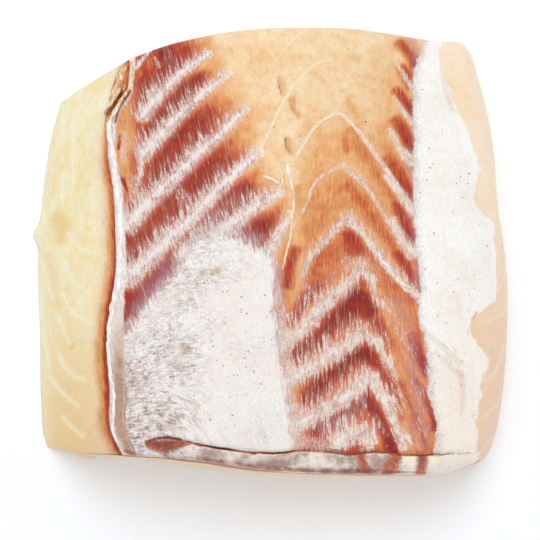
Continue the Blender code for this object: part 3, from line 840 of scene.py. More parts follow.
def skin_colours(tree, paint, noise):
    """Loose skin, white where smooth, with painted shade in its creases; the flank's fascia, with painted
    fold shade.
    """
    tone = jitter(tree, noise.cloud, (noise.mottle, 0.5))
    stops = [(0.25, "#fbeee2"), (0.5, "#fff6eb"), (0.75, "#fffbf3")]
    smooth = add(tree, "ShaderNodeValToRGB", {0: tone}, stops=stops)
    # Painted shade and highlight: lilac-grey in the creases' hollows, near white on their ridges, as their
    # bump.
    fold = jitter(tree, noise.crease, (noise.grain, 0.7), (noise.mottle, 1.0), (noise.cloud, 1.0))
    stops = [(0.0, "#a88983"), (0.25, "#cbb3ab"), (0.5, "#e4d3c9"), (0.75, "#f6eae0"), (1.0, "#fff9f2")]
    creased = add(tree, "ShaderNodeValToRGB", {0: fold}, stops=stops)
    soiled = mask(tree, paint.gold, 0.25, 1.05, 0.75, [(noise.mottle, 1.4), (noise.grain, 0.9)])
    loose = layered(tree, smooth, (0.5, "#f6e9df"), (paint.wrinkle, creased), (soiled, "#c0935a"))
    breaks = [(noise.grain, 3.6), (noise.mottle, 3.0), (noise.hair, 1.5)]
    dots = mask(tree, paint.rim, 3.0, -0.8, 0.7, breaks)
    there = mask(tree, paint.strip, 0.1, 0.6, 0.95)
    breaks = [(noise.mottle, 2.6), (noise.grain, 1.4), (noise.cloud, 3.6)]
    mottled = mask(tree, paint.strip, 0.3, 1.7, there, breaks)
    warmer = mask(tree, noise.split["Y"], -0.015, -0.06, 0.6, [(noise.cloud, 0.02)])
    # Painted shade: a lilac-brown line along each fold of the flank fascia, beside its raised ridge.
    line = mask(tree, paint.fold, 0.1, 0.9, 0.45, [(noise.grain, 0.4)])
    blush = mask(tree, paint.pink, 0.1, 1.0, 0.5, [(noise.mottle, 0.4)])
    fascia = layered(tree, smooth, (warmer, "#fbe7d2"), (dots, "#c8b9b8"), (mottled, "#ae8f80"))
    fascia = layered(tree, fascia, (line, "#c3ada3"), (blush, "#ecbcae"))
    return loose, fascia


def cut_colour(tree, paint, noise, muscle):
    """Cut flesh: pale and creamy, golden in places, with paler septa, darker muscle under the skin, and
    painted light at its left edge.
    """
    tone = jitter(tree, noise.cloud, (noise.mottle, 0.7))
    stops = [(0.25, "#fcdf9c"), (0.5, "#ffeab4"), (0.75, "#fff5d2")]
    flesh = add(tree, "ShaderNodeValToRGB", {0: tone}, stops=stops)
    flank = mask(tree, noise.split["X"], 0.02, 0.06, 0.68)
    front = mask(tree, noise.split["Y"], 0.01, -0.065, 0.56)
    deeper = product(tree, flank, mask(tree, noise.split["Y"], 0.03, -0.045, 0.48))
    golden = mask(tree, paint.gold, 0.1, 1.0, 0.78, [(noise.mottle, 0.6), (noise.cloud, 0.5)])
    # Painted light: the cut face is painted paler towards its outer left edge.
    edge = mask(tree, noise.split["X"], -0.067, -0.077, 0.5)
    halo = mask(tree, paint.cut_septum, -3.0, -0.5, 0.32, [(noise.mottle, 3.0)])
    line = mask(tree, paint.cut_septum, -0.6, 0.6, 0.62, [(noise.grain, 0.6), (noise.mottle, 1.0)])
    flesh = layered(tree, flesh, (front, "#f3c794"), (flank, "#fadbc5"), (deeper, "#dca97f"))
    flesh = layered(tree, flesh, (golden, "#f1be70"), (edge, "#fff3d6"))
    flesh = layered(tree, flesh, (halo, "#fff0c8"), (line, "#fff6da"))
    # Rings of muscle on the two end faces, and darker muscle right under the skin.
    across, deep = (
        add(tree, "ShaderNodeMath", {0: noise.split[axis], 1: middle * MM}, operation="SUBTRACT")
        for axis, middle in zip("XZ", RING_MIDDLE)
    )
    centre_line = add(tree, "ShaderNodeCombineXYZ", {0: across, 1: deep})
    ring = add(tree, "ShaderNodeVectorMath", {0: centre_line}, out="Value", operation="LENGTH")
    ring = product(tree, ring, 1 / (RING_SPACING * MM))
    ring = jitter(tree, ring, (noise.swell, 2.4), (noise.mottle, 0.12))
    saw = add(tree, "ShaderNodeMath", {0: ring, 1: 1.0}, operation="PINGPONG")
    breaks = [(noise.cloud, 0.3), (noise.mottle, 0.12)]
    arc = mask(tree, saw, 0.24, -0.04, product(tree, paint.end_face, 0.62), breaks)
    dark = [(noise.cloud, 4.0), (noise.mottle, 2.5)]
    dark_layer = mask(tree, paint.under, 7.5, 4.5, product(tree, paint.end_face, 0.9), dark)
    end = product(tree, paint.end_face, 0.5)
    return layered(tree, flesh, (end, "#f0c79f"), (arc, "#fff6e6"), (dark_layer, muscle))


def loin_material():
    """Raw shark loin: wet muscle, smooth and faintly glossy, whose white septa feather along the fibres."""
    material, tree, shader = new_material(
        "raw_shark_loin",
        Roughness=0.42,
        IOR=1.34,
        Specular_IOR_Level=0.3,
        Subsurface_Weight=0.08,
        Subsurface_Radius=(1.0, 0.4, 0.25),
        Subsurface_Scale=0.0011,
        Coat_Weight=0.1,
        Coat_Roughness=0.14,
    )
    noise = grains(tree)
    paint = flesh_paint(tree)
    muscle = muscle_colour(tree, paint, noise)
    loose, fascia = skin_colours(tree, paint, noise)
    flesh = cut_colour(tree, paint, noise, muscle)

    ragged = [(noise.spikes, 2.0), (noise.mottle, 2.6), (noise.hair, 1.4)]
    patch_haze = mask(tree, paint.patch, -3.2, 0.6, 0.48, ragged)
    patch_mask = mask(tree, paint.patch, -0.7, 1.3, 1.0, ragged)
    fascia_mask = mask(tree, paint.fascia, -0.3, 0.35, 1.0, [(noise.grain, 0.9), (noise.mottle, 0.9)])
    tone = jitter(tree, noise.mottle, (noise.strands, 0.5), (noise.grain, 0.4))
    stops = [(0.2, "#dac6ba"), (0.45, "#ede1d8"), (0.7, "#fcf6ef")]
    rolled = add(tree, "ShaderNodeValToRGB", {0: tone}, stops=stops)
    breaks = [(noise.mottle, 0.9), (noise.strands, 0.6), (noise.grain, 0.5)]
    flushed = mask(tree, paint.flush, 0.1, 1.2, 0.75, breaks)
    rolled = layered(tree, rolled, (flushed, "#dab095"))
    breaks = [(noise.hair, 0.5), (noise.grain, 0.3), (noise.mottle, 0.3)]
    roll_mask = mask(tree, paint.roll, 0.25, 0.75, 1.0, breaks)
    # Painted shade in the roll's groove and along its right border.
    groove = mask(tree, paint.groove, 0.1, 0.9, 0.75, [(noise.mottle, 1.0), (noise.strands, 0.5)])
    tone = jitter(tree, noise.mottle, (noise.hair, 0.5), (noise.cloud, 0.8))
    stops = [(0.3, "#8c3526"), (0.5, "#b2502f"), (0.7, "#d2794c")]
    shown = add(tree, "ShaderNodeValToRGB", {0: tone}, stops=stops)
    breaks = [(noise.hair, 0.3), (noise.mottle, 0.8), (noise.grain, 0.8)]
    hole = mask(tree, paint.hole, -0.3, 0.45, 0.92, breaks)
    # Dark stains, and painted shade in the slit, the crevice and the pits, near black where strongest.
    stops = [(0.25, "#b3674c"), (0.6, "#6f3425"), (1.0, "#24100d")]
    stain_and_shade_colour = add(tree, "ShaderNodeValToRGB", {0: paint.stain}, stops=stops)
    stain_and_shade_mask = mask(tree, paint.stain, 0.18, 0.6, 1.0, [(noise.grain, 0.5), (noise.mottle, 0.4)])
    surface = layered(
        tree,
        muscle,
        (patch_haze, "#dccdcc"),
        (patch_mask, loose),
        (paint.cut, flesh),
        (fascia_mask, fascia),
        (roll_mask, rolled),
        (groove, "#bb8a73"),
        (hole, shown),
        (stain_and_shade_mask, stain_and_shade_colour),
    )
    # Fine light and dark grain over everything.
    wanted = {"Value": noise.grain, "From Min": 0.3, "From Max": 0.7, "To Min": 0.92, "To Max": 1.07}
    salt = add(tree, "ShaderNodeMapRange", wanted)
    surface = add(tree, "ShaderNodeVectorMath", {0: surface, "Scale": salt}, operation="SCALE")
    tree.links.new(surface, shader.inputs["Base Color"])

    # Fine relief: fibres on muscle, creases on the loose skin, grain all over.
    bare = add(tree, "ShaderNodeMath", {0: 1.0, 1: paint.cut}, operation="SUBTRACT")
    height = product(tree, jitter(tree, noise.hair, (noise.spikes, 0.8)), bare)
    creased = product(tree, paint.wrinkle, patch_mask, 3.0)
    height = add(tree, "ShaderNodeMath", {0: noise.crease, 1: creased, 2: height}, operation="MULTIPLY_ADD")
    height = jitter(tree, height, (noise.grain, 1.8), (noise.mottle, 1.8))
    wanted = {"Height": height, "Strength": 0.7, "Distance": 0.28 * MM}
    bump = add(tree, "ShaderNodeBump", wanted, out="Normal")
    tree.links.new(bump, shader.inputs["Normal"])
    tree.links.new(bump, shader.inputs["Coat Normal"])
    return material


# ---------------------------------------------------------------- the block


def divided_box_tree():
    """Geometry Nodes that make a box of one unit, divided into a grid on each face."""
    tree = bpy.data.node_groups.new("divided_box", "GeometryNodeTree")
    tree.interface.new_socket("Geometry", in_out="OUTPUT", socket_type="NodeSocketGeometry")
    for name, default in zip(("Places X", "Places Y", "Places Z"), FINE_PLACES):
        socket = tree.interface.new_socket(name, in_out="INPUT", socket_type="NodeSocketInt")
        socket.default_value = default
    tree.interface.new_socket("Material", in_out="INPUT", socket_type="NodeSocketMaterial")
    given = add(tree, "NodeGroupInput", out=None).outputs
    counts = {"Vertices " + axis: given[number] for number, axis in enumerate("XYZ")}
    box = add(tree, "GeometryNodeMeshCube", counts)
    box = add(tree, "GeometryNodeRealizeInstances", {0: box})
    box = add(tree, "GeometryNodeSetMaterial", {"Geometry": box, "Material": given[3]})
    add(tree, "NodeGroupOutput", {0: box}, out=None)
    return tree


def grown(name, tree, values, base=None):
    """A plain mesh made by a Geometry Nodes tree from named inputs."""
    holder = bpy.data.objects.new("holder", base or bpy.data.meshes.new("holder"))
    bpy.context.scene.collection.objects.link(holder)
    modifier = holder.modifiers.new("made", "NODES")
    modifier.node_group = tree
    for item in tree.interface.items_tree:
        if item.item_type == "SOCKET" and item.in_out == "INPUT" and item.name in values:
            modifier[item.identifier] = values[item.name]
    graph = bpy.context.evaluated_depsgraph_get()
    mesh = bpy.data.meshes.new_from_object(holder.evaluated_get(graph))
    bpy.data.objects.remove(holder, do_unlink=True)
    mesh.name = name
    return mesh


def show(mesh):
    """Puts a finished mesh in the scene and hands it to the frame."""
    piece = bpy.data.objects.new(mesh.name, mesh)
    bpy.context.scene.collection.objects.link(piece)
    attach(piece, BODY)
    return piece


def box_coordinates(mesh):
    """Box coordinates of the divided box's points, bunched near the crest and the slit."""
    places = np.empty(3 * len(mesh.vertices), np.float32)
    mesh.vertices.foreach_get("co", places)
    places = places.reshape(-1, 3).astype(float) + 0.5
    places = np.where(np.abs(places - np.round(places)) < 1e-5, np.round(places), places)
    a = np.interp(places[:, 0], *CREST_SPACING)
    b = np.interp(places[:, 1], *SLIT_SPACING)
    return a, b, places[:, 2]


def opened_bottom(mesh, c):
    """The box's faces without the grid of its bottom, whose rim is closed by one face."""
    loops = np.empty(len(mesh.loops), np.int32)
    mesh.loops.foreach_get("vertex_index", loops)
    quads = loops.reshape(-1, 4)
    bottom = (c[quads] == 0).all(axis=1)
    kept, dropped = quads[~bottom], quads[bottom]
    ends = np.concatenate([dropped[:, [i, (i + 1) % 4]] for i in range(4)])
    edges = {tuple(end) for end in ends.tolist()}
    follows = {start: end for start, end in edges if (end, start) not in edges}
    rim = [next(iter(follows))]
    while follows[rim[-1]] != rim[0]:
        rim.append(follows[rim[-1]])
    used = np.unique(kept)
    index = np.full(len(c), -1)
    index[used] = np.arange(len(used))
    return used, index[kept].tolist() + [index[rim].tolist()]


def write_paint(mesh, name, channels):
    """Stores up to three values for each point as a colour attribute."""
    values = np.ones((len(mesh.vertices), 4), np.float32)
    for number, channel in enumerate(channels):
        values[:, number] = channel
    mesh.attributes.new(name, "FLOAT_COLOR", "POINT").data.foreach_set("color", values.ravel())


def muscle_paint(x, y):
    """Septa, redness and veil of the skin side, how white its septa are and how raggedly they run out."""
    thick = [(LEFT_SEPTA, 0.85, 0.2), (RIGHT_SEPTA, 1.0, 0.9)]
    septum, ragged = septa(x, y, *thick, (THIN_SEPTA, 0.0, -0.7), (LENS_SEPTA, 0.6, 0.6))
    drift = 2.5 * uneven(x, y, 9.0, 31) + 1.2 * uneven(x, y, 4.0, 32)
    outside = x - through(PALE_EDGE, y) + drift
    left = np.interp(outside, *zip(*LEFT_REDNESS))
    left = left * (1 - 0.6 * (1 - step(x + 0.4 * drift, *ROLL_SIDE)) * step(y, *ROLL_SIDE_BACK))
    left = np.maximum(left, wash(x + 0.3 * drift, y, LEFT_MUSCLE, 3) * (1 - step(outside, -9, 1)))
    left = np.maximum(left, wash(x, y, SLIVERS, 3))
    middle = np.interp(y, *zip(*MIDDLE_REDNESS))
    beside = np.interp(y, *zip(*LENS_REDNESS))
    right = middle + (beside - middle) * step(x + 0.5 * drift, *LENS_START)
    right = right * step(x, *RIGHT_START)
    pale = PALE_REDNESS + 0.06 * uneven(x, y, 11.0, 33) + 0.1 * ridge(x + 4, 9) * step(y, 70, 40)
    redness = np.maximum.reduce([pale, left, right, wash(x + 0.3 * drift, y, RIGHT_MUSCLE + DARK_LENSES)])
    amount = step(redness, 0.2, 0.55)
    shade = septum_shade(x, y, LEFT_SEPTA, 1) + 0.6 * septum_shade(x, y, RIGHT_SEPTA, -1)
    redness = redness + amount * shade
    redness = redness - 0.25 * wash(x, y, LENS_SEPTA, 3) * amount
    outward = np.maximum(through(ROLL_EDGE, y) - x, 0)
    reach, glow, line = (np.interp(y, *zip(*table)) for table in (CREST_REACH, GLOW_REACH, CREST_REDNESS))
    crest = np.maximum(line * ridge(outward, reach), GLOW_REDNESS * ridge(outward, glow))
    crest = crest + 0.06 * uneven(x, y, 2.5, 34)
    over = x < through(ROLL_EDGE, y)
    redness = np.where(over, crest, redness)
    septum = np.where(over, -3.0, septum)
    whiteness = np.interp(x, *zip(*SEPTA_WHITENESS)) * step(redness, 0.12, 0.4)
    whiteness = np.maximum(whiteness, 0.8 * wash(x, y, LENS_SEPTA, 4))
    frost = np.where(over, 0, wash(x, y, FROST, 3))
    return septum, redness, wash(x, y, VEILS), whiteness, frost, ragged


def skin_paint(x, y, under):
    """How far inside the flank fascia, the loose skin and the fascia's rim a place lies, and the strip."""
    ragged = 0.5 * uneven(x, y, 2.2, 11) + 0.25 * uneven(x, y, 0.9, 12)
    rim = x - through(FASCIA_EDGE, y) + ragged
    flank = 0.6 * (through(FASCIA_FLANK_EDGE, y) - x) + ragged + 0.5 * uneven(x, y, 5.0, 13)
    fascia = np.minimum(rim, flank)
    past = x - LOOSE_SKIN_END + 3 * ragged
    strip = np.minimum(through(SLIT, x) - 0.4 - y, 0.4 * past + 0.4) + 0.5 * ragged
    below = y < through(SLIT, x)
    fascia = np.where(below, np.minimum(strip, flank + 3), fascia) - 2.5 * under
    rim = np.where(below, 6.0, rim)
    top = 0.6 * (through(PATCH_TOP, x) - y)
    side = through(PATCH_SIDE, y) - x
    patch = np.minimum(np.minimum(top, side), x - through(ROLL_EDGE, y))
    bare = (below & (past > 0)) | (x < through(ROLL_EDGE, y))
    patch = np.where(bare, -4.0, patch) - 2.5 * under
    mottled = step(through(SLIT, x) - y, 0, 1) * (1 - 0.7 * step(x, 34, 46)) * step(past, -2, 5)
    return np.clip(fascia, -4, 6), np.clip(patch, -4, 6), np.clip(rim, -4, 6), mottled


def crease_paint(x, y):
    """The place across the loose skin's nested creases in mm, and their strength."""
    middle_x = -38 + 26 * step(y, -60, -22)
    crease = np.hypot(x - middle_x, 1.1 * (y - CREASE_CENTRE_Y))
    wrinkle = step(-x, *WRINKLE_START) * np.interp(y, *zip(*WRINKLES)) + 0.35 * step(y, -16, -2)
    wrinkle = wrinkle + 0.3 * uneven(x, y, 7.0, 35)
    return crease, np.clip(wrinkle, 0, 1)


def mark_paint(x, y, z, top):
    """Painted shade in the slit and crevice, dark stains, golden places, and septa across the cut face and
    flank.
    """
    inside = x - through(ROLL_EDGE, y)
    below = through(SLIT, x) - y
    along = step(x, SLIT_ENDS[0], SLIT_ENDS[0] + 4) * (1 - step(x, SLIT_ENDS[1] - 4, SLIT_ENDS[1] + 2))
    # Painted shade: the slit is painted dark, nearly black in two places along it.
    blackness = 0.52 + 0.16 * uneven(x, 0 * x, 4.0, 23)
    blackness = blackness + 0.45 * np.maximum(ridge(x + 16, 4.5), ridge(x - 2, 4.5))
    slit = blackness * ridge(below - 0.2 * uneven(x, 0 * x, 3.0, 24), 0.34) * along
    # Painted shade along the crevice at the roll's outer edge.
    crevice = 0.42 * ridge(inside + 0.3, 0.4) * (0.6 + 0.6 * uneven(x, y, 5.0, 21))
    stain = np.maximum.reduce([slit, crevice, wash(x, y, STAINS_AND_SHADE, 4)]) * top
    across = y + 0.6 * z + 5 * uneven(y, z, 16.0, 36)
    across = np.mod(across, FLANK_LINE_PITCH) - 0.5 * FLANK_LINE_PITCH
    flank = np.where(x > FLANK_LINES_FROM, -0.2 - np.abs(across) / 0.6 - 2 * step(z, 24, 36), -3.0)
    golden = wash(x, y, GOLD) * np.where(x > 50, step(z, 18, 38), 1)
    return stain, golden, np.maximum(lines_potential(x, y, CUT_FACE_SEPTA), flank)


def centre():
    """The middle of the foot's box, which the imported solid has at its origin."""
    grid = np.linspace(0, 1, 201)
    b, a = np.meshgrid(grid, grid)
    sides = [mould(a, b, np.full(a.shape, level)) for level in (0.0, 0.35, 0.5, 0.65, 1.0)]
    x, y = (np.concatenate([side[axis].ravel() for side in sides]) for axis in (0, 1))
    return 0.5 * (x.min() + x.max()), 0.5 * (y.min() + y.max())


def centred(name, points, faces):
    """A mesh of places in millimetres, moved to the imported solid's frame and turned to metres."""
    middle_x, middle_y = centre()
    places = (np.array(points) - (middle_x, middle_y, 0)) * MM
    mesh = bpy.data.meshes.new(name)
    mesh.from_pydata(places.tolist(), [], faces)
    mesh.update()
    if faces:
        mesh.shade_smooth()
    return mesh


def fine_relief(x, y, septum, fascia, patch, crease, wrinkle):
    """How far septa, creases and folds stand up from the skin side, in millimetres."""
    bare = (1 - step(fascia, -0.5, 0.5)) * (1 - step(patch, -0.5, 1.5))
    raised = SEPTUM_HEIGHT * step(septum, -0.8, 0.6) * bare
    raised = raised + 0.14 * uneven(x, y, 4.5, 3) + 0.08 * uneven(x, y, 1.7, 4)
    ripple = np.sin(2 * np.pi * crease / CREASE_PITCH + 2.5 * uneven(x, y, 6.0, 5))
    raised = raised + CREASE_HEIGHT * ripple * wrinkle * step(patch, 0, 1.5)
    return raised + FOLD_HEIGHT * wash(x - 0.5, y - 0.5, FOLDS)


def edge_paint(x, y, top, end_face):
    """The cut faces, the roll, painted shade in its groove and along its border, the flush on it, and the
    openings in the skin.
    """
    inside = x - through(ROLL_EDGE, y)
    width = through(ROLL_WIDTH, y)
    roll = step(inside, 0, 0.4) * (1 - step(inside - width, -1.2, 0.8)) * top
    # Painted shade: a greyish-pink groove down the roll's middle, and a shade line along its right border
    # near the front.
    groove = ridge(inside - 0.58 * width, 0.3 * width) * step(-y, 24, 44) * top
    groove = np.maximum(groove, 0.8 * ridge(inside - width + 0.3, 0.4) * step(-y, 40, 46) * top)
    cut = np.where(top, step(x - through(FASCIA_FLANK_EDGE, y), -2.2, -1.2), 1.0)
    cut = cut * np.where(end_face > 0, 1.0, step(-inside, 2.0, 8.0) + step(x, 30, 40))
    flush = step(-y, 12, 34) * step(inside, 0.4, 3.4)
    opening = np.minimum(lines_potential(x, y, HOLES), 2 * (through(SLIT, x) - y))
    return np.clip(cut, 0, 1), roll, groove, flush, np.where(top, opening, -3.0)


def loin_mesh(material):
    """The moulded block as a fine mesh, with its paint."""
    mesh = grown("divided", divided_box_tree(), {"Material": material})
    a, b, c = box_coordinates(mesh)
    used, faces = opened_bottom(mesh, c)
    a, b, c = a[used], b[used], c[used]
    x, y, z = mould(a, b, c)
    middle = (0.5 * (x.min() + x.max()), 0.5 * (y.min() + y.max()))
    top = c == 1
    top_x, top_y = plan(a, b, CREST_LEFT, SHOULDER_RIGHT, END_FRONT, END_BACK)
    under = (1 - c) * skin_height(top_x, top_y)
    septum, redness, veil, whiteness, frost, ragged = muscle_paint(x, y)
    fascia, patch, rim, strip = skin_paint(x, y, under)
    crease, wrinkle = crease_paint(x, y)
    raised = fine_relief(x, y, septum, fascia, patch, crease, wrinkle)
    z = z + top * raised * step(through(END_BACK, x) - y, 0, 3)
    end_face = (((b == 0) | (b == 1)) & ~top).astype(float)
    cut, roll, groove, flush, hole = edge_paint(x, y, top, end_face)
    lean = through(FIBRE_LEAN, x)
    solid = bpy.data.meshes.new("shark_loin_block")
    points = np.stack([x - middle[0], y - middle[1], z], axis=1) * MM
    solid.from_pydata(points.tolist(), [], faces)
    solid.materials.append(material)
    solid.shade_smooth()
    write_paint(solid, "muscle", (septum, redness, veil))
    write_paint(solid, "skin", (fascia, patch, rim))
    write_paint(solid, "frost", (frost, ragged, wash(x, y, FOLDS)))
    write_paint(solid, "edge", (hole, strip, groove))
    write_paint(solid, "pink", (wash(x, y, PINK_LINE), flush))
    write_paint(solid, "marks", mark_paint(x, y, z, top))
    write_paint(solid, "place", (cut, under, roll))
    write_paint(solid, "fibre", (x + lean * y, y + 0.6 * z, z))
    write_paint(solid, "crease", (crease, x + 0.42 * y, z))
    write_paint(solid, "tint", (whiteness, end_face, wrinkle))
    bpy.data.meshes.remove(mesh)
    return solid


# ---------------------------------------------------------------- smaller pieces

CORD_SIDES = 10
CORD_STEP = 0.3
# Strands laid on the block: places by X and Y, half widths and heights along them, and how far
# they wander, all in mm.
LIP = [
    (
        [
            (-48.6, 44.8), (-49.8, 42.2), (-51, 39.6), (-51, 36), (-49.8, 30.4), (-48.8, 22),
            (-47.4, 12.8), (-46.9, 4), (-46.9, -5), (-47.4, -13), (-49.2, -19.2), (-50, -26),
            (-50.2, -33), (-49.4, -40.6), (-48.2, -46), (-48.2, -52.4), (-48.6, -57.2), (-46.6, -61),
        ],
        (0.5, 0.8, 0.95, 0.95, 0.9, 0.85, 0.75, 0.6, 0.5, 0.5, 0.4),
        (0.5, 0.6, 0.6, 0.6, 0.6, 0.55, 0.45, 0.35, 0.3, 0.3, 0.2),
        0.3,
    ),
]
TORN_FAT = [
    ([(-45, 60.8), (-43.9, 57.4), (-43.7, 54.6), (-45.2, 50.4), (-47.4, 47.2), (-49.4, 43.4), (-50.8, 40)],
     (0.6, 0.5, 0.45, 0.5, 0.6, 0.5), (0.6, 0.5, 0.5), 0.25),
    (
        [(-48, 52.2), (-49.2, 49.4), (-51, 46.8), (-52.6, 45.4), (-53, 43.4)],
        (0.5, 0.45, 0.5, 0.35),
        (0.5, 0.4),
        0.3,
    ),
    ([(-49.4, 56.8), (-48.2, 55.8), (-47.2, 54.2)], (0.7, 0.9, 0.6), (0.6, 0.5), 0.3),
    ([(-45.8, 59), (-46.9, 57.2)], (0.7, 0.6), (0.6, 0.5), 0.2),
    ([(-46.3, 52.4), (-47.2, 50.6)], (0.5, 0.4), (0.5, 0.4), 0.2),
    ([(-50.8, 50), (-51.8, 47.6)], (0.5, 0.4), (0.4, 0.4), 0.2),
]
TENDONS = [
    (
        [(5.3, 24.5), (6.2, 18.7), (7.1, 15.6), (6.5, 9.2), (5.6, 1.3), (3.1, -8)],
        (0.3, 0.35, 0.3, 0.2),
        (0.3, 0.25),
        0.3,
    ),
    ([(2.8, 23.6), (3.4, 20), (3.7, 17)], (0.25, 0.35, 0.2), (0.3, 0.3), 0.3),
    ([(4.4, 26.5), (5, 23), (5.6, 19.6)], (0.4, 0.75, 0.4), (0.4, 0.5), 0.4),
    ([(-3, 21.6), (0.4, 20.4), (3.2, 18.4)], (0.3, 0.4, 0.25), (0.3, 0.3), 0.3),
    (
        [(23.2, 7.8), (28.4, 3.2), (33.8, -4.2), (37.6, -8.8), (40.4, -11.6), (45, -15.8)],
        (0.2, 0.4, 0.4),
        (0.25, 0.3),
        0.7,
    ),
    ([(39.4, -10.6), (40.6, -13.6), (42.8, -15)], (0.25, 0.3, 0.2), (0.35, 0.3), 0.3),
    ([(46.6, -25.6), (52.4, -30.2), (58.2, -35)], (0.15, 0.25, 0.2), (0.2, 0.2), 0.25),
    ([(51.6, -32.4), (55.6, -36.2), (59.6, -39.2)], (0.7, 0.9, 0.7), (0.35, 0.35), 0.2),
    ([(56, -31), (58, -34.5), (60, -37)], (0.3, 0.5, 0.3), (0.3, 0.3), 0.3),
]


def cord(line, seed):
    """A strand laid on the skin side: its points and faces, closed at both ends."""
    path, widths, heights, wander = line
    x, y = smooth_path(path, 400)
    run = np.concatenate([[0], np.cumsum(np.hypot(np.diff(x), np.diff(y)))])
    rings = max(8, int(run[-1] / CORD_STEP))
    at = np.linspace(0, run[-1], rings)
    x = np.interp(at, run, x) + wander * uneven(at, 0 * at, 2.0, seed)
    y = np.interp(at, run, y) + wander * uneven(at, 0 * at, 2.0, seed + 1)
    share = at / run[-1]
    ends = np.sqrt(np.clip(np.minimum(share, 1 - share) * run[-1] / 1.2, 0.03, 1))
    wide = np.interp(share, np.linspace(0, 1, len(widths)), widths) * ends
    tall = np.interp(share, np.linspace(0, 1, len(heights)), heights) * ends
    wide = wide * (1 + 0.3 * uneven(at, 0 * at, 1.1, seed + 2))
    tall = tall * (1 + 0.4 * uneven(at, 0 * at, 1.3, seed + 3))
    slope_x, slope_y = np.gradient(x), np.gradient(y)
    length = np.hypot(slope_x, slope_y)
    base = np.maximum(skin_height(x, y), skin_height(x + 0.9, y))
    base = np.convolve(np.pad(base, 2, "edge"), np.full(5, 0.2), "valid")
    turn = np.linspace(0, 2 * np.pi, CORD_SIDES, endpoint=False)
    spread = wide[:, None] * np.cos(turn)
    points_x = x[:, None] + (slope_y / length)[:, None] * spread
    points_y = y[:, None] - (slope_x / length)[:, None] * spread
    points_z = base[:, None] + tall[:, None] * np.where(np.sin(turn) > 0, np.sin(turn), 1.5 * np.sin(turn))
    points = np.stack([points_x, points_y, points_z], axis=-1).reshape(-1, 3)
    faces = []
    for i in range(rings - 1):
        for k in range(CORD_SIDES):
            near, after = i * CORD_SIDES + k, i * CORD_SIDES + (k + 1) % CORD_SIDES
            faces.append((near, near + CORD_SIDES, after + CORD_SIDES, after))
    faces.append(tuple(range(CORD_SIDES)))
    faces.append(tuple(reversed(range((rings - 1) * CORD_SIDES, rings * CORD_SIDES))))
    return points, faces


def cords_mesh(name, lines, material):
    """Strands of one kind as one mesh."""
    points, faces = [], []
    for number, line in enumerate(lines):
        more_points, more_faces = cord(line, 40 + 10 * number)
        faces += [tuple(len(points) + corner for corner in face) for face in more_faces]
        points += more_points.tolist()
    mesh = centred(name, points, faces)
    mesh.materials.append(material)
    return mesh


def speck_tree():
    """Geometry Nodes that set a tiny, uneven crumb on each point they are given."""
    tree = bpy.data.node_groups.new("specks", "GeometryNodeTree")
    tree.interface.new_socket("Geometry", in_out="OUTPUT", socket_type="NodeSocketGeometry")
    tree.interface.new_socket("Geometry", in_out="INPUT", socket_type="NodeSocketGeometry")
    for name, default in (("Smallest", 0.1 * MM), ("Largest", 0.4 * MM)):
        socket = tree.interface.new_socket(name, in_out="INPUT", socket_type="NodeSocketFloat")
        socket.default_value = default
    tree.interface.new_socket("Material", in_out="INPUT", socket_type="NodeSocketMaterial")
    given = add(tree, "NodeGroupInput", out=None).outputs
    crumb = add(tree, "GeometryNodeMeshIcoSphere", {"Radius": 1.0, "Subdivisions": 1})
    wander = {"Min": (-0.3, -0.3, -3.0), "Max": (0.3, 0.3, 3.0), "Seed": 5}
    turn = add(tree, "FunctionNodeRandomValue", wander, data_type="FLOAT_VECTOR")
    size = add(tree, "FunctionNodeRandomValue", {2: given[1], 3: given[2], "Seed": 6}, out=1)
    sides = {0: size, 1: product(tree, size, 0.7), 2: product(tree, size, 0.35)}
    flat = add(tree, "ShaderNodeCombineXYZ", sides)
    placed = {"Points": given[0], "Instance": crumb, "Rotation": turn, "Scale": flat}
    made = add(tree, "GeometryNodeInstanceOnPoints", placed)
    made = add(tree, "GeometryNodeRealizeInstances", {0: made})
    made = add(tree, "GeometryNodeSetMaterial", {"Geometry": made, "Material": given[3]})
    add(tree, "NodeGroupOutput", {0: made}, out=None)
    return tree


# Specks that stand out, and the zones over which fine ones are strewn: X and Y from and to, and how
# many of them.
SINGLE_SPECKS = [
    (37.5, 35.5), (37.9, 36.2), (36.5, 57), (37.2, 55.8), (52.5, 66.5), (47, 0), (47.6, -1),
    (53, -26.5), (68.5, 2.5), (66.5, 23), (-0.5, 44.5), (-7.5, 46.5), (-19, -8.2), (-18.2, -9.5),
    (-13.5, -8.5), (46.2, 17), (48.5, 24), (49.6, 25.2), (50.6, 26.4), (-20.5, 53), (-15, 64),
]
SPECK_ZONES = [
    ((-24, 2), (-62, -4), 80),
    ((46, 66), (-58, 60), 60),
    ((-14, 30), (20, 66), 20),
    ((10, 44), (-60, 10), 20),
]


def speck_mesh():
    """Dark specks of dirt on the skin side."""
    random = np.random.default_rng(17)
    places = list(SINGLE_SPECKS)
    for across, along, count in SPECK_ZONES:
        places += list(zip(random.uniform(*across, count), random.uniform(*along, count)))
    x, y = np.array(places).T
    kept = (x < through(FASCIA_FLANK_EDGE, y)) & (y > through(SLIT, x) + 1)
    x, y = x[kept], y[kept]
    points = np.stack([x, y, skin_height(x, y) + 0.06], axis=1)
    base = centred("speck_places", points.tolist(), [])
    values = {"Smallest": 0.09 * MM, "Largest": 0.32 * MM, "Material": speck_material()}
    return grown("dirt_specks", speck_tree(), values, base)


def speck_material():
    """Dark grit and dried blood: matt, brown to nearly black."""
    material, tree, shader = new_material("dark_grit", Roughness=0.8)
    place = add(tree, "ShaderNodeTexCoord", out="Object")
    stops = [(0.35, "#4a3b33"), (0.65, "#a58e7c")]
    colour = add(tree, "ShaderNodeValToRGB", {0: noise_of(tree, place, 9.0)}, stops=stops)
    tree.links.new(colour, shader.inputs["Base Color"])
    return material


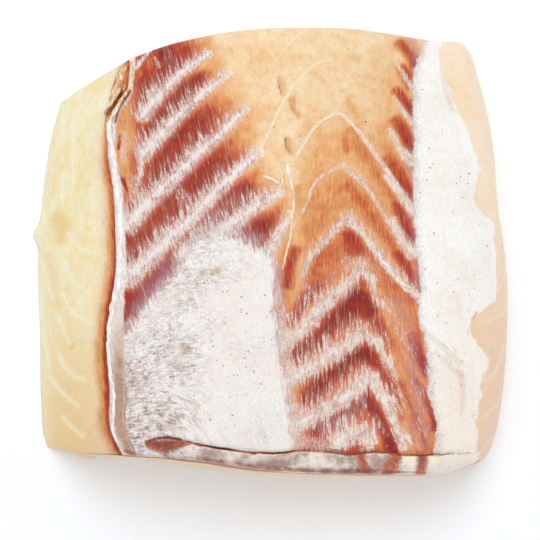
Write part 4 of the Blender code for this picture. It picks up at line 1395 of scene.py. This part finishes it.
def strand_material(name, stops, wetness):
    """Wet strands of tissue, slightly see-through, with painted shade and highlight: each fold a little
    darker or lighter.
    """
    material, tree, shader = new_material(
        name,
        Roughness=0.4,
        IOR=1.36,
        Subsurface_Weight=0.25,
        Subsurface_Radius=(1.0, 0.7, 0.5),
        Subsurface_Scale=0.0008,
        Coat_Weight=wetness,
        Coat_Roughness=0.15,
    )
    place = add(tree, "ShaderNodeTexCoord", out="Object")
    stretched = add(tree, "ShaderNodeMapping", {"Vector": place, "Scale": (1200.0, 300.0, 1200.0)})
    folds = add(tree, "ShaderNodeTexNoise", {"Vector": stretched, "Scale": 1.0, "Detail": 2.0})
    tone = jitter(tree, folds, (noise_of(tree, place, 0.6), 0.5), (noise_of(tree, place, 2.6), 0.5))
    # Painted shade and highlight: the colour follows the same folds as the bump, darker in the hollows.
    colour = add(tree, "ShaderNodeValToRGB", {0: tone}, stops=stops)
    tree.links.new(colour, shader.inputs["Base Color"])
    wanted = {"Height": tone, "Strength": 0.6, "Distance": 0.3 * MM}
    bump = add(tree, "ShaderNodeBump", wanted, out="Normal")
    tree.links.new(bump, shader.inputs["Normal"])
    return material


# ---------------------------------------------------------------- stage

CAMERA_DISTANCE = 0.6
CAMERA_ELEVATION = math.radians(80)
FRAME_WIDTH = 172.8 * MM
SENSOR_WIDTH = 36.0
FLOOR_SIZE = 6.0
KEY_SIZE = 0.9
KEY_PLACE = (0.1, 0.45, 1.2)
CAMERA_TARGET = (0.0006, -0.0051, 0.022)


def stage_material():
    """White painted board: matt, with a faint unevenness."""
    material, tree, shader = new_material("white_painted_board", Roughness=0.85)
    place = add(tree, "ShaderNodeTexCoord", out="Object")
    noise = add(tree, "ShaderNodeTexNoise", {"Vector": place, "Scale": 8.0})
    colour = add(tree, "ShaderNodeValToRGB", {0: noise}, stops=[(0.3, "#f9fafb"), (0.7, "#fcfcfc")])
    tree.links.new(colour, shader.inputs["Base Color"])
    return material


class LoinSettings(bpy.types.PropertyGroup):
    """Light strengths that a user would change."""

    key_power: bpy.props.FloatProperty(
        name="Key light", description="Power of the large soft light", default=5.0, unit="POWER"
    )
    sky_strength: bpy.props.FloatProperty(
        name="Sky", description="Strength of the even light from all round", default=0.93
    )


class LOIN_OT_block(bpy.types.Operator):
    """Makes the block of loin"""

    bl_idname = "loin.block"
    bl_label = "Loin block"

    def execute(self, context):
        piece = show(loin_mesh(loin_material()))
        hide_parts(CAD_NODE)
        return {"FINISHED"}


class LOIN_OT_lip(bpy.types.Operator):
    """Makes the rolled lip of the fascia"""

    bl_idname = "loin.lip"
    bl_label = "Fascia lip"

    def execute(self, context):
        stops = [(0.22, "#d9c2b4"), (0.42, "#efe1d6"), (0.65, "#fdf6ee")]
        show(cords_mesh("fascia_lip", LIP, strand_material("rolled_fascia", stops, 0.25)))
        return {"FINISHED"}


class LOIN_OT_strands(bpy.types.Operator):
    """Makes the torn fat beside the lip and the loose tendons on the muscle"""

    bl_idname = "loin.strands"
    bl_label = "Torn strands"

    def execute(self, context):
        golden = [(0.22, "#a8683f"), (0.4, "#dca972"), (0.55, "#f5dcb4"), (0.7, "#fff4dc")]
        white = [(0.2, "#d9b492"), (0.42, "#eed9bf"), (0.62, "#fbf2e4")]
        show(cords_mesh("torn_fat", TORN_FAT, strand_material("golden_fat", golden, 0.5)))
        show(cords_mesh("loose_tendons", TENDONS, strand_material("white_tendon", white, 0.3)))
        return {"FINISHED"}


class LOIN_OT_specks(bpy.types.Operator):
    """Strews dark specks on the skin side"""

    bl_idname = "loin.specks"
    bl_label = "Specks"

    def execute(self, context):
        show(speck_mesh())
        return {"FINISHED"}


class LOIN_OT_stage(bpy.types.Operator):
    """Makes the floor, the lights and the camera"""

    bl_idname = "loin.stage"
    bl_label = "Stage"

    def execute(self, context):
        settings = context.scene.loin
        scene = context.scene
        bpy.ops.mesh.primitive_plane_add(size=FLOOR_SIZE, location=(0, 0, 0))
        floor = context.active_object
        floor.name = "floor"
        floor.data.materials.append(stage_material())
        world = bpy.data.worlds.new("pale_room")
        world.use_nodes = True
        sky = world.node_tree.nodes["Background"]
        sky.inputs["Color"].default_value = linear("#eef4fb")
        sky.inputs["Strength"].default_value = settings.sky_strength
        scene.world = world
        key = bpy.data.lights.new("key", "AREA")
        key.shape = "DISK"
        key.size = KEY_SIZE
        key.energy = settings.key_power
        lamp = bpy.data.objects.new("key", key)
        lamp.location = KEY_PLACE
        lamp.rotation_euler = (-lamp.location).to_track_quat("-Z", "Y").to_euler()
        scene.collection.objects.link(lamp)
        lens = bpy.data.cameras.new("camera")
        lens.sensor_width = SENSOR_WIDTH
        lens.lens = SENSOR_WIDTH * CAMERA_DISTANCE / FRAME_WIDTH
        camera = bpy.data.objects.new("camera", lens)
        back = (0, -math.cos(CAMERA_ELEVATION), math.sin(CAMERA_ELEVATION))
        camera.location = [at + CAMERA_DISTANCE * way for at, way in zip(CAMERA_TARGET, back)]
        camera.rotation_euler = (math.pi / 2 - CAMERA_ELEVATION, 0, 0)
        scene.collection.objects.link(camera)
        scene.camera = camera
        scene.view_settings.view_transform = "Standard"
        return {"FINISHED"}


class LOIN_PT_panel(bpy.types.Panel):
    """Lists the operators in the sidebar"""

    bl_idname = "LOIN_PT_panel"
    bl_label = "Shark loin"
    bl_space_type = "VIEW_3D"
    bl_region_type = "UI"
    bl_category = "Loin"

    def draw(self, context):
        for name in LoinSettings.__annotations__:
            self.layout.prop(context.scene.loin, name)
        for operator in OPERATORS:
            self.layout.operator(operator.bl_idname)


OPERATORS = (LOIN_OT_block, LOIN_OT_lip, LOIN_OT_strands, LOIN_OT_specks, LOIN_OT_stage)
CLASSES = (LoinSettings, *OPERATORS, LOIN_PT_panel)


def register():
    for item in CLASSES:
        bpy.utils.register_class(item)
    bpy.types.Scene.loin = bpy.props.PointerProperty(type=LoinSettings)


def unregister():
    del bpy.types.Scene.loin
    for item in reversed(CLASSES):
        bpy.utils.unregister_class(item)


def main():
    register()
    bpy.ops.loin.block()
    bpy.ops.loin.lip()
    bpy.ops.loin.strands()
    bpy.ops.loin.specks()
    bpy.ops.loin.stage()


if __name__ == "__main__":
    main()
